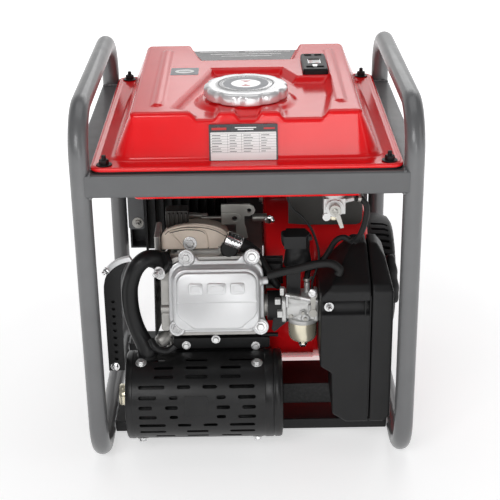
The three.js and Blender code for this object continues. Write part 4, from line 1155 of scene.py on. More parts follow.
def engine_front_fittings():
    """Fasteners and stubs seen round the cylinder head."""
    stub = Shape().lathe([(0, 0), (5.6, 0), (5.6, 12), (4.9, 12.6), (0, 12.6)], 28)
    piece(stub.place(facing((-91, -120, 184), (-1, 0, 0))), "head_dowel", CAST_ALUMINIUM)
    parts = []
    for x, y, z in ((-76, -112, 131), (-40, -126, 146), (7, -112, 129)):
        parts.append((bolt(3.9, 4.4, washer=5.4), facing((x, y, z), (0, -1, 0.12))))
    parts.append((bolt(5.2, 5, washer=8, thread=5, thread_radius=3.2),
                  facing((-103, -121, 231), (-0.5, -0.8, 0.1))))
    piece(gather(parts), "head_nuts", ZINC, bevel=0.3)
    side = Shape().prism(rounded(5, 40, 4, -59.2, -2), 148, 171)
    piece(side.place(CYLINDER), "head_side_casting", CAST_ALUMINIUM, bevel=1.2)
    baffle = Shape().prism(rounded(1, 46, 0.9, -71, -2), 56, 168)
    baffle.prism([(-72, 42), (-62, 46), (-62, 44), (-72, 40)], 56, 168)
    piece(baffle.place(CYLINDER), "cylinder_baffle", BLACK_STEEL, bevel=0.4)
    flank = Shape().prism(rounded(3.2, 24, 3, -108, -54), 204, 258)
    piece(flank, "cylinder_flank_cover", CAST_ALUMINIUM, bevel=1.0)
    bridge = Shape().prism(rounded(58, 7, 3, -34, 133), -112, -104, "y")
    piece(bridge, "head_lower_shield", BLACK_STEEL, bevel=1.0)
    plug = Shape().lathe([(0, -3), (7, -3), (8.2, 0), (8.2, 8), (6.5, 11.5), (0, 13)], 30)
    plug.rod(4.5, -14, -2, 24)
    piece(plug.place(facing((-100, -112, 143), (-0.75, -0.5, -0.4))), "drain_plug",
          CAST_ALUMINIUM)


def moving_parts():
    """The pieces inside the engine, finished like their real metals."""
    refined("crankshaft", STEEL, "crank_and_rotor", bevel=0.5)
    refined("rotor_and_fan", CAST_ALUMINIUM, "crank_and_rotor", bevel=0.4)
    refined("piston", BRIGHT_ALUMINIUM, "piston_and_rod", bevel=0.3)
    refined("connecting_rod", STEEL, "piston_and_rod", bevel=0.6)
    refined("stator", COPPER, bevel=1.2)


def build_engine():
    """The engine's castings and everything bolted to them."""
    crankcase()
    valve_cover()
    air_guide()
    plug_and_lead()
    regulator_and_tubes()
    engine_front_fittings()
    moving_parts()


# ------------------------------------------------------------------ alternator and starter

def fan_shroud():
    """The red drum round the flywheel fan, with bolts on both sides."""
    low, high = span("fan_shroud")
    radius = (high.z - low.z) / 2 - 0.3
    left, right = low.x, high.x
    wall = 2.5
    profile = [
        (42, left), (radius - 7, left), (radius - 2, left + 2), (radius, left + 7),
        (radius, left + 58), (radius + 0.2, left + 60), (radius - 1.6, left + 63),
        (radius - 1.6, right - 8), (radius - 3, right - 3), (radius - 7, right), (76, right),
        (76, right - wall), (radius - 8, right - wall), (radius - wall - 2, right - 8),
        (radius - wall, left + 8), (radius - 8, left + wall), (42, left + wall),
    ]
    shape = Shape().hollow(profile, 96)
    piece(shape.place(CRANK_LINE), "fan_shroud_shell", RED_PAINT, replaces=("fan_shroud",),
          angle=35)
    places = []
    for turn in (60, 150, 240, 330):
        y = CRANK.y + (radius - 9) * math.cos(math.radians(turn))
        z = CRANK.z + (radius - 9) * math.sin(math.radians(turn))
        places += [facing((left, y, z), (-1, 0, 0)), facing((right, y, z), (1, 0, 0))]
    bolts("shroud_bolts", STEEL, places, radius=4.6, head=3.6, washer=7)


def recoil_cover():
    """The black starter housing, with slots in its face and in the rim where they are seen."""
    low, high = span("recoil_cover")
    radius, left, right = 82.5, low.x, high.x
    wall = 3
    profile = [
        (radius - 5, left), (radius, left), (radius, left + 3), (radius - 3.5, left + 5),
        (radius - 5, right - 14), (radius - 9, right - 5), (radius - 15, right - 1), (44, right),
        (42, right - 1.6), (24, right - 1.6), (22, right), (3, right), (3, right - wall),
        (40, right - wall - 1.6), (radius - 17, right - wall), (radius - 12, right - 8),
        (radius - 8, left + 5),
    ]
    face_slot = Shape().block((50, -2.2, right - 8), (68, 2.2, right + 4))
    cuts = Shape().around(face_slot, 24).place(CRANK_LINE)
    side_slot = Shape().block((left + 8, -1.9, radius - 20), (right - 8, 1.9, radius + 6))
    for turn in (34.5, 41.5, 48.5, 55.5, 62.5, 69.5, 77):
        cuts.add(side_slot, at(0, CRANK.y, CRANK.z)
                 @ Matrix.Rotation(math.radians(90 - turn), 4, "X"))
    shell = Shape().hollow(profile, 96)
    piece(shell.place(CRANK_LINE), "recoil_cover_shell", BLACK_PLASTIC,
          replaces=("recoil_cover",), tools=cuts)
    hub = Shape().rod(7, 158, right - 2, 32)
    piece(hub.place(CRANK_LINE), "recoil_spindle", STEEL)
    rib = Shape().block((24, -1.2, right - 1.8), (42, 1.2, right - 0.2))
    ribs = Shape().around(rib, 6)
    piece(ribs.place(CRANK_LINE), "recoil_cover_ribs", BLACK_PLASTIC, bevel=0.4)


def starter_handle():
    """The pull grip, its rope and guide, and the pulley with the rope's turns."""
    pull = Vector(joint("handle_pull")["axis"])
    root = Vector((166, CRANK.y - 72, CRANK.z + 28))
    snout = Shape().hollow([(3.4, -6), (11, -6), (10.6, 12), (9, 17.6), (6, 18.6), (3.4, 18.6)], 32)
    piece(snout.place(facing(root, pull)), "rope_guide", BLACK_PLASTIC)
    grip_place = facing(root + pull * 31.1, pull)
    across = grip_place.to_3x3().inverted() @ (UP - pull * pull.z).normalized()
    grip_place = grip_place @ Matrix.Rotation(math.atan2(across.y, across.x), 4, "Z")
    rings = []
    for i in range(25):
        part = i / 24
        x = -29.6 + 59.2 * part
        ends = 1 - abs(2 * part - 1) ** 6 * 0.55
        swell = 1 + 0.08 * math.cos(part * 6 * math.pi)
        rings.append([(x, a * 7.2 * ends * swell, b * 6.6 * ends * swell)
                      for a, b in circle(1, 28)])
    grip = Shape().rings(rings)
    grip.lathe([(0, -12), (4.9, -12), (5.2, -8), (6.6, -3), (6.6, 0), (0, 0)], 24)
    piece(grip.place(grip_place), "starter_grip", BLACK_PLASTIC, "starter_handle",
          ("recoil_handle",), angle=60)
    rope = Shape().tube([root + pull * (-14 + 2.2 * i) for i in range(20)], 1.6, 12)
    cord = piece(rope, "starter_rope", WHITE_PLASTIC, body=None)
    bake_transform(cord)
    refined("recoil_pulley", BLACK_PLASTIC, "starter_pulley", bevel=0.4)
    turns = Shape()
    low, high = span("recoil_rope")
    for i in range(3):
        x = low.x + 2 + i * (high.x - low.x - 4) / 2
        turns.tube([(x, y, z) for y, z in circle(36.6, 48, CRANK.y, CRANK.z)], 1.9, 12,
                   closed=True)
    piece(turns, "rope_turns", RUBBER, "starter_pulley", ("recoil_rope",))


def build_alternator():
    """The fan drum and the recoil starter on its end."""
    fan_shroud()
    recoil_cover()
    starter_handle()


# ------------------------------------------------------------------ intake

def clip(name, route, place, look=STEEL):
    """A sprung wire clip round a hose at a numbered point of its route, with two ears."""
    radius = 3.5
    shape = Shape().pipe(radius, radius + 0.8, -1.6, 1.6, 28)
    for sign in (-1, 1):
        shape.block((radius + 0.3, sign * 2.2 - 0.5, -1.5), (radius + 4, sign * 2.2 + 0.5, 1.5))
    along = route[place + 1] - route[place - 1]
    piece(shape.place(facing(route[place], along)), name, look)


def carburettor():
    """The carburettor's casting and float bowl, with its screws, throttle and choke."""
    x, y = centre("float_bowl").xy
    low, high = span("carburettor")
    throat_y, throat_z = -115, 184
    bowl_low, bowl_high = span("float_bowl")
    rim = bowl_high.z
    bowl_x = x + 2
    body = Shape().prism(circle(16, 36, throat_y, throat_z), low.x, high.x - 0.5, "x")
    body.prism(rounded(13, 15, 4, throat_y, throat_z + 2), 44, 74, "x")
    for x0, x1 in ((38, 43), (76, high.x)):
        body.prism(rounded(20, 16, 7, throat_y, throat_z + 1), x0, x1, "x")
    body.tube([(68, throat_y, 196), (68, throat_y, 214)], 3.6, 20)
    deck = [(0, rim + 9), (16.8, rim + 9), (16.8, rim + 13), (15.6, rim + 14.4),
            (15.0, rim + 24), (13.6, rim + 27), (0, rim + 28)]
    body.add(Shape().lathe(deck, 48), at(bowl_x, y))
    body.prism(rounded(4.6, 4.6, 4.4, x + 4.4, rim + 15), y - 18.6, y - 12, "y")
    body.prism(rounded(3.6, 3.6, 3.4, x + 1.6, rim + 22.5), y - 17.6, y - 10, "y")
    body.block((x + 8, y - 17.5, rim + 13), (x + 16, y - 6, rim + 32))
    body.block((x - 21, y - 14, rim + 13), (x - 15, y - 6, rim + 34))
    piece(body, "carburettor_casting", DIE_CASTING, replaces=("carburettor",), voxel=0.85,
          rounds=3, keep=0.5)
    foot, lip = bowl_low.z + 5, rim + 10
    bowl = Shape().lathe([
        (0, foot), (8, foot), (13.6, foot + 2), (15.6, foot + 4.4), (16.8, foot + 8),
        (17.2, lip - 4), (18.2, lip - 3.4), (18.2, lip - 0.2), (0, lip - 0.2),
    ], 56)
    piece(bowl.place(at(bowl_x, y)), "float_bowl_shell", BRASS, replaces=("float_bowl",), angle=50)
    ring = Shape().hollow([(16.4, lip - 3.6), (19.4, lip - 3.4), (19.9, lip - 2.6),
                           (19.9, lip + 1.6), (19.2, lip + 2.2), (16.4, lip + 2.2)], 56)
    piece(ring.place(at(bowl_x, y)), "bowl_ring", DIE_CASTING)
    bolts("bowl_nut", CHROME, [facing((bowl_x, y - 9, foot - 0.4), (0, -0.9, -0.7))], 0.4,
          radius=4.2, head=3.4, washer=5.4)
    sleeve = Shape().pipe(15.6, 17.6, 0, 16, 40)
    piece(sleeve.place(facing((21.6, throat_y, throat_z), (1, 0, 0))), "intake_insulator",
          BLACK_PLASTIC, bevel=0.4)
    stops = Shape()
    for spot, size in (((33, y - 20, 199), (3.2, 3, 3.4)), ((35.5, y - 20, 183), (3, 3, 4)),
                       ((38, y - 18, 211), (2.2, 3, 4.6))):
        stops.block([c - h for c, h in zip(spot, size)], [c + h for c, h in zip(spot, size)])
    piece(stops, "carburettor_stops", DIE_CASTING, bevel=0.5)
    parts = [
        (bolt(2.6, 2.0), facing((x + 1.6, y - 17.6, rim + 22.5), (0, -1, 0))),
        (bolt(2.4, 2.0), facing((x + 4.4, y - 18.6, rim + 15), (0, -1, 0))),
        (bolt(3.0, 2.6), facing((x - 12, y - 13.4, rim + 17), (-0.4, -1, 0))),
    ]
    piece(gather(parts), "carburettor_screws", STEEL, bevel=0.25)
    throttle(y)
    choke()


def throttle(bowl_y):
    """The throttle's shaft and arm, and the long spring beside them."""
    y = bowl_y - 20
    shaft = Shape().tube([(42, y, 207), (79.5, y, 198.5)], 2.5, 14)
    shaft.tube([(44, bowl_y - 20.5, 206.4), (44, bowl_y - 20.5, 192)], 1.5, 10)
    piece(shaft, "throttle_shaft", ZINC)
    spring = []
    count = 80
    for i in range(count):
        turn = i * 0.62
        part = i / (count - 1)
        spring.append((47 + 12 * part, y + 3.2 * math.cos(turn),
                       205.6 - 2.7 * part + 3.2 * math.sin(turn)))
    piece(Shape().tube(spring, 0.45, 8), "throttle_spring", STEEL)


def choke():
    """The choke lever and the stud it turns on."""
    refined("choke_lever", STEEL, "choke", bevel=0.3)
    stud = Shape().lathe([(0, 0), (4.7, 0), (5, 0.6), (5, 2.0), (4.2, 2.6), (2.4, 2.7), (2.2, 2.0),
                          (0, 2.0)], 28)
    low, high = span("choke_lever")
    spot = (centre("choke_lever").x - 1, low.y + 0.8, high.z - 1.4)
    piece(stud.place(facing(spot, (0, -1, 0.2))), "choke_lever_button", ZINC, "choke")


def throttle_motor():
    """The governor's stepper motor over the carburettor, with its can, rim and plug."""
    top = span("throttle_motor")[1].z
    x, y = 57, -113
    refined("throttle_motor", BLACK_PLASTIC, bevel=1.4, segments=3)
    can = Shape().lathe([(0, top - 40), (15.8, top - 40), (16.4, top - 38), (13.2, top - 16),
                         (12.6, top - 14.6), (0, top - 14.6)], 48)
    piece(can.place(at(x, y)), "throttle_motor_can", BLACK_STEEL)
    band = Shape().pipe(12.8, 13.7, top - 16.4, top - 15.6, 48)
    piece(band.place(at(x, y)), "throttle_motor_rim", CHROME)
    plug = Shape().tiers([(15, 10, 6, top - 15, x - 2, y), (16, 11, 6, top - 9, x - 3, y),
                          (13, 9, 5, top - 1, x - 6, y), (9, 7, 4, top, x - 7, y)])
    plug.tiers([(5, 5, 2, top - 8, x + 12, y - 2), (4, 4, 2, top - 3, x + 12, y - 2)])
    piece(plug, "throttle_motor_plug", BLACK_PLASTIC, voxel=0.9, rounds=4, keep=0.6)
    plate = Shape().prism([(31, 198), (37, 198), (40, 180), (46, 171), (29, 156), (26, 160)],
                          -130, -128.4, "y")
    piece(plate, "carburettor_bracket", BLACK_STEEL, bevel=0.6)


def air_cleaner():
    """The air box and its hinged cover as soft mouldings, with the nut, ribs and clips."""
    low, high = span("air_cleaner_case")
    for node, body in (("air_cleaner_case", ROOT), ("air_cleaner_cover", "air_cover")):
        piece(lift_cad(node), node + "_moulding", BLACK_PLASTIC, body, (node,), voxel=1.3,
              rounds=9, keep=0.35)
    refined("air_filter_element", FOAM, bevel=3, segments=3)
    bolts("air_cleaner_nut", ZINC, [facing((90.5, low.y + 2.2, 204.5), (0.12, -1, 0.1))],
          radius=3.6, head=3.4, washer=5.6, thread=6, thread_radius=2.2)
    seam = Shape()
    for x in (low.x + 50.5, high.x - 1.6):
        seam.block((x, low.y, low.z + 8), (x + 1.4, low.y + 3, 218))
    piece(seam, "air_cleaner_seams", BLACK_PLASTIC, bevel=0.4)
    cover_low = span("air_cleaner_cover")[0]
    ribs = Shape()
    for x in (cover_low.x + 6, cover_low.x + 12.5):
        ribs.block((x, cover_low.y + 0.2, cover_low.z + 10), (x + 1.6, cover_low.y + 3, 218))
    piece(ribs, "air_cover_ribs", BLACK_PLASTIC, "air_cover", bevel=0.5)
    clips = Shape()
    for z in (96, 190):
        clips.block((cover_low.x - 5, -70.8, z - 7), (cover_low.x + 9, -69.4, z + 7))
        clips.tube([(cover_low.x + 9, -70.4, z - 7), (cover_low.x + 9, -70.4, z + 7)], 1.6, 12)
    piece(clips, "air_cover_clips", STEEL, "air_cover", bevel=0.3)


def hoses():
    """The fuel hose with its clips, the breather, the throttle cable and a vent pipe."""
    fuel = hose("fuel_hose_tube", [
        (120.8, -132, 324.5), (128, -132, 323), (134, -131, 312), (132, -130, 292),
        (126, -126, 274), (119, -118, 266), (110, -113, 268.5), (101.5, -111, 264),
        (95, -108, 252), (89, -105, 240), (78, -104, 229), (71, -107, 227), (68, -114, 220),
        (68, -115, 214.6),
    ], 3.4, replaces=("fuel_hose",))
    clip("fuel_hose_clip_top", fuel, 5)
    clip("fuel_hose_clip_middle", fuel, 36, BLACK_STEEL)
    clip("fuel_hose_clip_low", fuel, len(fuel) - 5)
    hose("breather_hose_tube", [
        (22.6, -133.5, 231), (36, -136, 236), (55, -140, 242), (76, -144, 249), (93, -147, 251),
        (103, -149, 245), (101, -150, 238.2),
    ], 4.7, steps=10, sides=22, replaces=("breather_hose",))
    hose("throttle_cable_sheath", [
        (42, -110, 331), (50, -110, 306), (61, -110, 295), (72, -110, 280), (79, -110, 262),
        (82, -111, 244), (79, -113, 228), (74.5, -114, 214), (74, -115, 200.5),
    ], 1.5, sides=14, replaces=("throttle_cable",))
    pipe = Shape().tube([(14, -108, 142), (34, -108, 141.5)], 2.6, 16)
    piece(pipe, "vent_pipe", BLACK_PLASTIC)


def build_intake():
    """The carburettor, its motor, the air cleaner and the hoses."""
    carburettor()
    throttle_motor()
    air_cleaner()
    hoses()


# ------------------------------------------------------------------ exhaust

MUFFLER_Y, MUFFLER_Z = -126.0, 73.0


def muffler():
    """The can with its two end caps, the outlet with its screen, the foot and the inlet."""
    low, high = span("muffler")
    place = facing((0, MUFFLER_Y, MUFFLER_Z), (1, 0, 0))
    can = Shape().lathe([
        (0, low.x + 12), (39, low.x + 12), (41.5, low.x + 14), (41.5, high.x - 8),
        (39, high.x - 5), (0, high.x - 5),
    ], 64)
    piece(can.place(place), "muffler_can", BLACK_STEEL, replaces=("muffler",))
    left_x, right_x = low.x + 10, high.x
    caps = Shape().lathe([
        (0, left_x + 2.2), (12, left_x + 2.2), (38, left_x + 1.4), (47, left_x + 0.2),
        (51, left_x + 0.4), (52.6, left_x + 2), (52.9, left_x + 8), (51.6, left_x + 9.4),
        (0, left_x + 9.4),
    ], 72)
    caps.lathe([
        (0, right_x - 21), (52.4, right_x - 21), (53, right_x - 20), (53, right_x - 11.5),
        (52.0, right_x - 10.6), (52.0, right_x - 9.8), (52.9, right_x - 8.8), (52.9, right_x - 3.4),
        (51.4, right_x - 0.8), (46, right_x), (38, right_x - 1), (0, right_x - 1.6),
    ], 72)
    piece(caps.place(place), "muffler_end_caps", HEAT_BLACK, angle=45)
    tail = Shape().hollow([
        (10.6, left_x - 10), (12.2, left_x - 10), (13, left_x - 9), (13, left_x - 5),
        (14.4, left_x - 4), (14.4, left_x + 1), (17, left_x + 1.6), (17, left_x + 4),
        (10.6, left_x + 4),
    ], 44)
    piece(tail.place(place), "muffler_outlet", BRASS)
    screen = Shape().rod(10.7, left_x - 5, left_x - 4, 32)
    piece(screen.place(place), "spark_arrester_screen", STEEL)
    foot = Shape().block((-90, MUFFLER_Y + 26, MUFFLER_Z + 36), (10, MUFFLER_Y + 29, MUFFLER_Z + 66))
    piece(foot, "muffler_bracket", BLACK_STEEL, bevel=0.5)
    inlet = Shape().lathe([(0, 40), (12.5, 40), (12.5, 52), (10.6, 54), (0, 54)], 32)
    piece(inlet.place(at(-122, MUFFLER_Y + 2, MUFFLER_Z)), "muffler_inlet", BLACK_STEEL)


# Where the wrap's slots start and end along X, and each row's angle above the horizontal.
WIDE_ROW = ((-131, -100), (-86, -70), (-56, -39), (-25, 5))
NARROW_ROW = ((-113, -90), (-76, -50), (-35, -11))
LONG_ROW = ((-131, -100), (-76, -50), (-25, 5))
SHORT_ROW = ((-131, -110), (-95, -85), (-40, -29), (-15, 6))
MIDDLE_ROW = ((-131, -115), (-100, -85), (-40, -24), (-10, 6))
SLOT_ROWS = (
    (65.0, NARROW_ROW), (51.5, NARROW_ROW), (38.1, WIDE_ROW), (24.6, SHORT_ROW),
    (11.5, MIDDLE_ROW), (-1.8, SHORT_ROW), (-15.0, WIDE_ROW), (-28.3, LONG_ROW),
    (-41.8, NARROW_ROW), (78.6, LONG_ROW),
)


def muffler_shield():
    """The slotted wrap: a thin drum, open at the back, with rows of long slots."""
    low, high = span("muffler_shield")
    outer, inner = 52.3, 50.6
    x0, x1 = low.x, high.x - 13
    start, end = math.radians(65), math.radians(295)
    steps = 110
    rings = []
    for i in range(steps + 1):
        turn = start + (end - start) * i / steps
        y, z = math.cos(turn), math.sin(turn)
        rings.append([(x, MUFFLER_Y + y * r, MUFFLER_Z + z * r)
                      for x, r in ((x0, inner), (x1, inner), (x1, outer), (x0, outer))])
    tools = Shape()
    slot_half = 2.3
    for elevation, slots in SLOT_ROWS:
        turn = Matrix.Rotation(math.radians(180 - elevation), 4, "X")
        for slot_low, slot_high in slots:
            outline = rounded((slot_high - slot_low) / 2, slot_half, slot_half,
                              (slot_low + slot_high) / 2, 0, 4)
            cut = Shape().prism(outline, inner - 4, outer + 4, "y")
            tools.add(cut, at(0, MUFFLER_Y, MUFFLER_Z) @ turn)
    piece(Shape().rings(rings), "muffler_wrap", HEAT_BLACK, replaces=("muffler_shield",),
          tools=tools)
    patch = Shape().prism(rounded(13.5, 12, 2, -64, 0), 0, 0.5)
    place = facing((0, MUFFLER_Y, MUFFLER_Z), (0, -1, 0.24)) @ at(0, 0, outer - 0.35)
    piece(patch.place(place), "muffler_wrap_patch", HEAT_BLACK, bevel=0.2)
    places = []
    for x, elevation in ((-128.5, 74), (8, 71), (-130, -63), (8, -66)):
        turn = math.radians(180 - elevation)
        direction = Vector((0, math.cos(turn), math.sin(turn)))
        spot = Vector((x, MUFFLER_Y, MUFFLER_Z)) + direction * (outer - 0.2)
        if elevation < 0:
            spot.z = max(spot.z, 24.5)
        places.append(facing(spot, direction))
    bolts("muffler_screws", ZINC, places, 0.35, radius=4.2, head=3.6, washer=6.6)


def exhaust_pipe():
    """The pipe from the head to the muffler, with its flange and a strut."""
    route = smooth_route([
        (-95.4, -100, 234), (-101, -100.5, 235), (-109, -106, 242), (-120, -114, 245),
        (-131, -118, 235), (-138, -118, 216), (-139.5, -118, 198), (-138, -118, 178),
        (-133, -119, 158), (-125, -122, 140), (-122, -124, 132), (-122, -124, 127),
    ], 7)
    shape = Shape().tube(
        route, lambda t: 9.7 + 2.4 * (1 - step(t, 0.1, 0.3)) + 1.4 * step(t, 0.72, 0.86), 36)
    piece(shape, "exhaust_pipe_tube", BLACK_STEEL, replaces=("exhaust_pipe",), angle=60)
    flange = Shape().prism(rounded(17, 11, 8), 0, 6)
    piece(flange.place(facing((-97, -106, 236), (-0.8, -0.55, 0.1), 0.8)), "exhaust_flange",
          BLACK_STEEL, bevel=1.0)
    hose("heat_shield_strut", [
        (-116, -134, 151), (-111, -140, 144), (-102, -140, 139), (-94, -138, 139),
        (-88, -136, 143),
    ], 4.2, BLACK_STEEL, steps=7)


def exhaust_guard():
    """The pierced strap beside the pipe, with a dark strip behind its holes for painted shade, its
    clamp and screws.
    """
    low, high = span("exhaust_guard")
    holes = Shape()
    for i in range(9):
        holes.prism(circle(2.1, 24, -159, 120 + i * 9.5), -126, -117, "y")
    strap = Shape().prism([
        (-169, 104), (-150, 104), (-149, 214), (-148.6, 221), (-147.4, 229), (-144, 238),
        (-140, 245), (-144, 246.4), (-150, 245), (-156, 241.4), (-160.5, 237), (-164, 231.5),
        (-167, 224), (-168.6, 216), (-169, 208),
    ], low.y, high.y, "y")
    piece(strap, "exhaust_guard_strap", BLACK_STEEL, replaces=("exhaust_guard",), bevel=0.4,
          tools=holes)
    # A dark strip behind the strap's holes: painted shade, so the holes show dark rather than the
    # floor.
    shade_strip = Shape().block((-163.4, high.y + 1.2, 106), (-152, high.y + 2.4, 214))
    piece(shade_strip, "exhaust_guard_painted_shade", BLACK_STEEL, bevel=0.3)
    rings = []
    for p in smooth_route([(-165, -123.5, 234), (-156, -124, 243), (-146, -124, 248.5),
                           (-135, -123.5, 251)], 6):
        rings.append([(p.x - 1.6, p.y - 2.5, p.z + 2.6), (p.x - 1.6, p.y + 4, p.z + 2.6),
                      (p.x + 1.2, p.y + 4, p.z - 2.4), (p.x + 1.2, p.y - 2.5, p.z - 2.4)])
    piece(Shape().rings(rings), "exhaust_clamp", BRIGHT_ALUMINIUM, bevel=0.4)
    parts = [(bolt(3.6, 3, washer=5.5), facing((-161, -123, 110), (0, -1, 0))),
             (bolt(3.4, 3.4, washer=5, thread=3), facing((-163, -124, 237), (-0.7, -0.5, -0.4)))]
    piece(gather(parts), "exhaust_screws", CHROME, bevel=0.3)


def build_exhaust():
    """The muffler in its wrap, the pipe and its guard."""
    muffler()
    muffler_shield()
    exhaust_pipe()
    exhaust_guard()


# ------------------------------------------------------------------ control panel

def plate_bolts():
    """The panel's corner bolts and the two that hold it to the frame's tabs."""
    low, high = span("control_panel")
    parts = []
    for x in (low.x + 12, high.x - 12):
        for z in (low.z + 12, high.z - 12):
            parts.append((bolt(4.4, 3.4, washer=6.8), facing((x, high.y - 2.3, z), (0, 1, 0))))
    for sign in (-1, 1):
        parts.append((bolt(5.2, 4, washer=8, thread=4), facing((sign * 152, 158, 180), (0, -1, 0))))
    piece(gather(parts), "panel_bolts", STEEL, bevel=0.3)


def facing_back(x, z, y):
    """A placement on the panel's face, with +X to the right of a person who looks at it."""
    return at(x, y, z) @ Matrix.Rotation(math.pi, 4, "Z") @ Matrix.Rotation(math.pi / 2, 4, "X")


def panel_face():
    """The panel with its rockers, breaker, sockets and earth terminal."""
    refined("control_panel", PANEL_PLASTIC, bevel=2.2, segments=3)
    face = span("control_panel")[1].y
    rocker_z = 290
    for node, body in (("engine_switch", "engine_rocker"), ("eco_switch", "eco_rocker")):
        refined(node, BLACK_PLASTIC, body, bevel=0.6, segments=3)
        place = facing_back(centre(node).x, rocker_z, face)
        rim = Shape().tiers([
            (10, 14, 1, -2), (12, 16, 2.2, -0.2), (12, 16, 2.2, 0.8), (11.2, 15.2, 1.8, 1.6),
            (10, 14, 1, 1.6),
        ], corner=5, loop=True)
        piece(rim.place(place), node + "_bezel", BLACK_PLASTIC)
        mark = Shape().block((-0.5, 20, -0.2), (0.5, 24, 0.12))
        mark.add(Shape().pipe(1.6, 2.2, -0.2, 0.12, 24), at(0, -22))
        piece(mark.place(place), node + "_marks", LABEL_WHITE)
    middle = centre("breaker_button")
    refined("breaker_button", WHITE_PLASTIC, "breaker", bevel=0.5)
    nut = Shape().hollow([(9.5, 0), (9.5, 1.4), (6.3, 1.4), (6.3, 0)], 6)
    piece(nut.place(facing_back(middle.x, middle.z, face)), "breaker_nut", BLACK_PLASTIC, bevel=0.2)
    refined("ground_terminal_nut", BRASS, "ground_nut", bevel=0.3)
    sockets()
    panel_graphics(face)


def sockets():
    """The double mains outlet: its frame, the rims of its two outlets and its screws."""
    middle = centre("mains_socket")
    face = span("mains_socket")[1].y
    place = facing_back(middle.x, middle.z, face - 1.5)
    refined("mains_socket", BLACK_PLASTIC, bevel=0.5)
    rims = Shape()
    for x in (-18, 18):
        ring = Shape().hollow([(14.2, -0.3), (16.4, -0.3), (15.8, 0.55), (14.8, 0.55)], 48)
        rims.add(ring, at(x, 0))
    piece(rims.place(facing_back(middle.x, middle.z, face - 0.6)), "socket_rims", PANEL_PLASTIC)
    plate = Shape().tiers([
        (38.5, 24.5, 6, -0.5), (46, 32, 6, -0.2), (46, 32, 6, 0.7), (45, 31, 5.4, 1.3),
        (38.5, 24.5, 6, 1.3),
    ], loop=True)
    piece(plate.place(place), "socket_frame", BLACK_PLASTIC)
    screws = Shape()
    for x in (-42, 42):
        head = Shape().lathe([(0, 0.9), (2.8, 0.9), (2.8, 1.5), (1.8, 2.0), (0, 2.1)], 20)
        screws.add(head, at(x, 0))
    piece(screws.place(place), "socket_screws", STEEL)


def panel_graphics(face):
    """Plain printed fields on the panel: a border, lamp windows and a direct-current socket."""
    low, high = span("control_panel")
    width = (high.x - low.x) / 2
    place = facing_back(0, (low.z + high.z) / 2, face)
    border = Shape().tiers([
        (width - 6, 91, 6, -0.2), (width - 6, 91, 6, 0.1), (width - 7.2, 89.8, 6, 0.1),
        (width - 7.2, 89.8, 6, -0.2),
    ], corner=5, loop=True)
    piece(border.place(place), "panel_border", LABEL_WHITE)
    lamps = Shape()
    lens = Shape().lathe([(0, -0.2), (3.4, -0.2), (3.4, 0.8), (2.2, 1.6), (0, 1.8)], 24)
    for x in (-40, -24, -8):
        lamps.add(lens, facing_back(x, 300, face))
    piece(lamps, "panel_lamps", LABEL_RED)
    outlet_place = facing_back(45, 235, face)
    outlet = Shape().hollow([(9, 0), (13.5, 0), (13.5, 1.2), (12.6, 2), (10, 2), (9, 1.2)], 40)
    outlet.rod(9.2, -0.2, 0.3, 40)
    piece(outlet.place(outlet_place), "charging_socket", BLACK_PLASTIC)
    lid = Shape().tiers([(12.4, 12.4, 4, 0.8), (12.4, 12.4, 4, 1.6), (11.4, 11.4, 3.6, 2.3)])
    piece(lid.place(outlet_place), "charging_socket_lid", RUBBER, bevel=0.4)
    bars = Shape()
    for x, z, run in ((110, 316, 14), (70, 316, 12), (20, 306, 9), (-70, 280, 30), (45, 256, 14),
                      (120, 190, 10), (-24, 312, 20)):
        bars.add(Shape().block((-run / 2, -0.7, -0.2), (run / 2, 0.7, 0.1)),
                 facing_back(x, z, face))
    piece(bars, "panel_lines", LABEL_WHITE)


def build_panel():
    """The panel and what it carries, the inverter behind it and the alternator's wires."""
    panel_face()
    plate_bolts()
    refined("inverter_module", BLACK_STEEL, bevel=0.8)
    wires = Shape()
    for i, x in enumerate((-40, -46, -52)):
        wires.tube(smooth_route([
            (x, 139, 298), (x + 2, 120 + i * 2, 306), (x + 22, 80, 300 - i * 3),
            (x + 50, 50, 284), (x + 66 + i * 3, 44, 262),
        ], 8), 1.8, 12)
    piece(wires, "alternator_wires", RUBBER)


# ------------------------------------------------------------------ studio

SENSOR_WIDTH, FOCAL_LENGTH = 36, 87.33
CAMERA_SPOT = Vector((-0.7, -1397.7, 817.3))
PITCH_DOWN, YAW, ROLL = math.radians(23.654), math.radians(0.12), math.radians(-0.888)
LAMPS = (
    ("key", (-0.6, -1.7, 1.25), (0.9, 0.7), 11),
    ("front", (0.25, -1.9, 0.55), (0.5, 0.5), 3),
    ("fill", (1.5, -0.9, 0.8), (0.7, 1.1), 2.5),
    ("top", (0, 0.2, 1.9), (1.6, 1.2), 6),
    ("rear", (0.4, 1.6, 1.3), (1.4, 0.9), 5),
)
LAMP_TARGET = Vector((0, 0, 0.22))
FLOOR_HALF = 40.0


def camera():
    """The photo's camera: above the front, looking down, with a slight roll."""
    data = bpy.data.cameras.new("camera")
    data.sensor_width = SENSOR_WIDTH
    data.lens = FOCAL_LENGTH
    view = add_to_scene("camera", data)
    ahead = Vector((math.sin(YAW), math.cos(YAW), 0))
    right = Vector((math.cos(YAW), -math.sin(YAW), 0))
    look = ahead * math.cos(PITCH_DOWN) - UP * math.sin(PITCH_DOWN)
    up = UP * math.cos(PITCH_DOWN) + ahead * math.sin(PITCH_DOWN)
    across = right * math.cos(ROLL) + up * math.sin(ROLL)
    upward = -right * math.sin(ROLL) + up * math.cos(ROLL)
    turn = Matrix((across, upward, -look)).transposed().to_4x4()
    view.matrix_world = Matrix.Translation(CAMERA_SPOT * MM) @ turn
    bpy.context.scene.camera = view


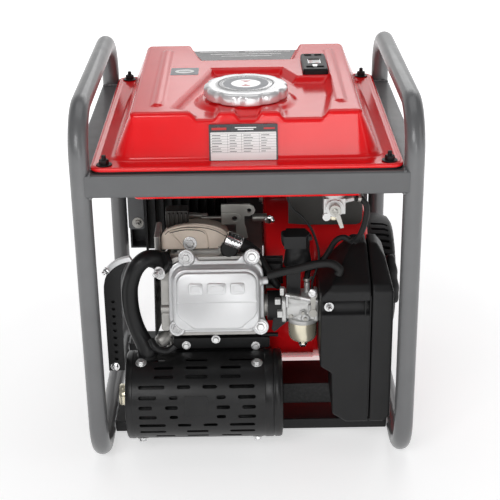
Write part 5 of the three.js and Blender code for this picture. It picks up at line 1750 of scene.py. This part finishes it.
def softbox(name, spot, size, power):
    """A rectangular lamp that points at the object. Its place and size are in metres."""
    data = bpy.data.lights.new(name, "AREA")
    data.shape = "RECTANGLE"
    data.size, data.size_y = size
    data.energy = power
    light = add_to_scene(name, data)
    light.location = spot
    light.rotation_euler = (LAMP_TARGET - Vector(spot)).to_track_quat("-Z", "Y").to_euler()


def backdrop():
    """A world that is bright behind the object and dims towards the ceiling and the front."""
    world = bpy.data.worlds.new("studio")
    world.use_nodes = True
    nodes, links = world.node_tree.nodes, world.node_tree.links
    place = nodes.new("ShaderNodeTexCoord")
    split = nodes.new("ShaderNodeSeparateXYZ")
    links.new(place.outputs["Generated"], split.inputs[0])
    lean = nodes.new("ShaderNodeMath")
    lean.operation = "MULTIPLY_ADD"
    lean.inputs[1].default_value = -0.9
    links.new(split.outputs["Z"], lean.inputs[0])
    links.new(split.outputs["Y"], lean.inputs[2])
    shade = ramp(nodes, 0.0, 0.7, (0.14, 0.14, 0.145), (1, 1, 1))
    links.new(lean.outputs[0], shade.inputs["Fac"])
    background = nodes["Background"]
    links.new(shade.outputs["Color"], background.inputs["Color"])
    background.inputs["Strength"].default_value = 0.9
    bpy.context.scene.world = world


def pale_floor():
    """A wide floor that glows more with distance, so that it fades into the backdrop."""
    data = bpy.data.meshes.new("floor")
    corners = ((-1, -1), (1, -1), (1, 1), (-1, 1))
    data.from_pydata([(x * FLOOR_HALF, y * FLOOR_HALF, 0) for x, y in corners], [],
                     [(0, 1, 2, 3)])
    floor = add_to_scene("floor", data)
    paint = finish("floor_paint", (0.86, 0.86, 0.86), 0.7, 0.0, ("noise", 60, 0.01), 0.004,
                   mottle_scale=2)
    nodes, links = paint.node_tree.nodes, paint.node_tree.links
    shader = nodes["Principled BSDF"]
    shader.inputs["Emission Color"].default_value = (1, 1, 1, 1)
    spot = nodes.new("ShaderNodeTexCoord")
    away = nodes.new("ShaderNodeVectorMath")
    away.operation = "LENGTH"
    links.new(spot.outputs["Object"], away.inputs[0])
    glow = nodes.new("ShaderNodeMapRange")
    for name, value in (("From Min", 0.4), ("From Max", 1.2), ("To Min", 0.55), ("To Max", 0.95)):
        glow.inputs[name].default_value = value
    links.new(away.outputs["Value"], glow.inputs["Value"])
    links.new(glow.outputs[0], shader.inputs["Emission Strength"])
    floor.data.materials.append(paint)


def studio():
    """Backdrop, lamps and floor."""
    backdrop()
    bpy.context.scene.view_settings.view_transform = "Standard"
    for name, spot, size, power in LAMPS:
        softbox(name, spot, size, power)
    pale_floor()


camera()
studio()
build_frame()
build_tank()
build_engine()
build_alternator()
build_intake()
build_exhaust()
build_panel()
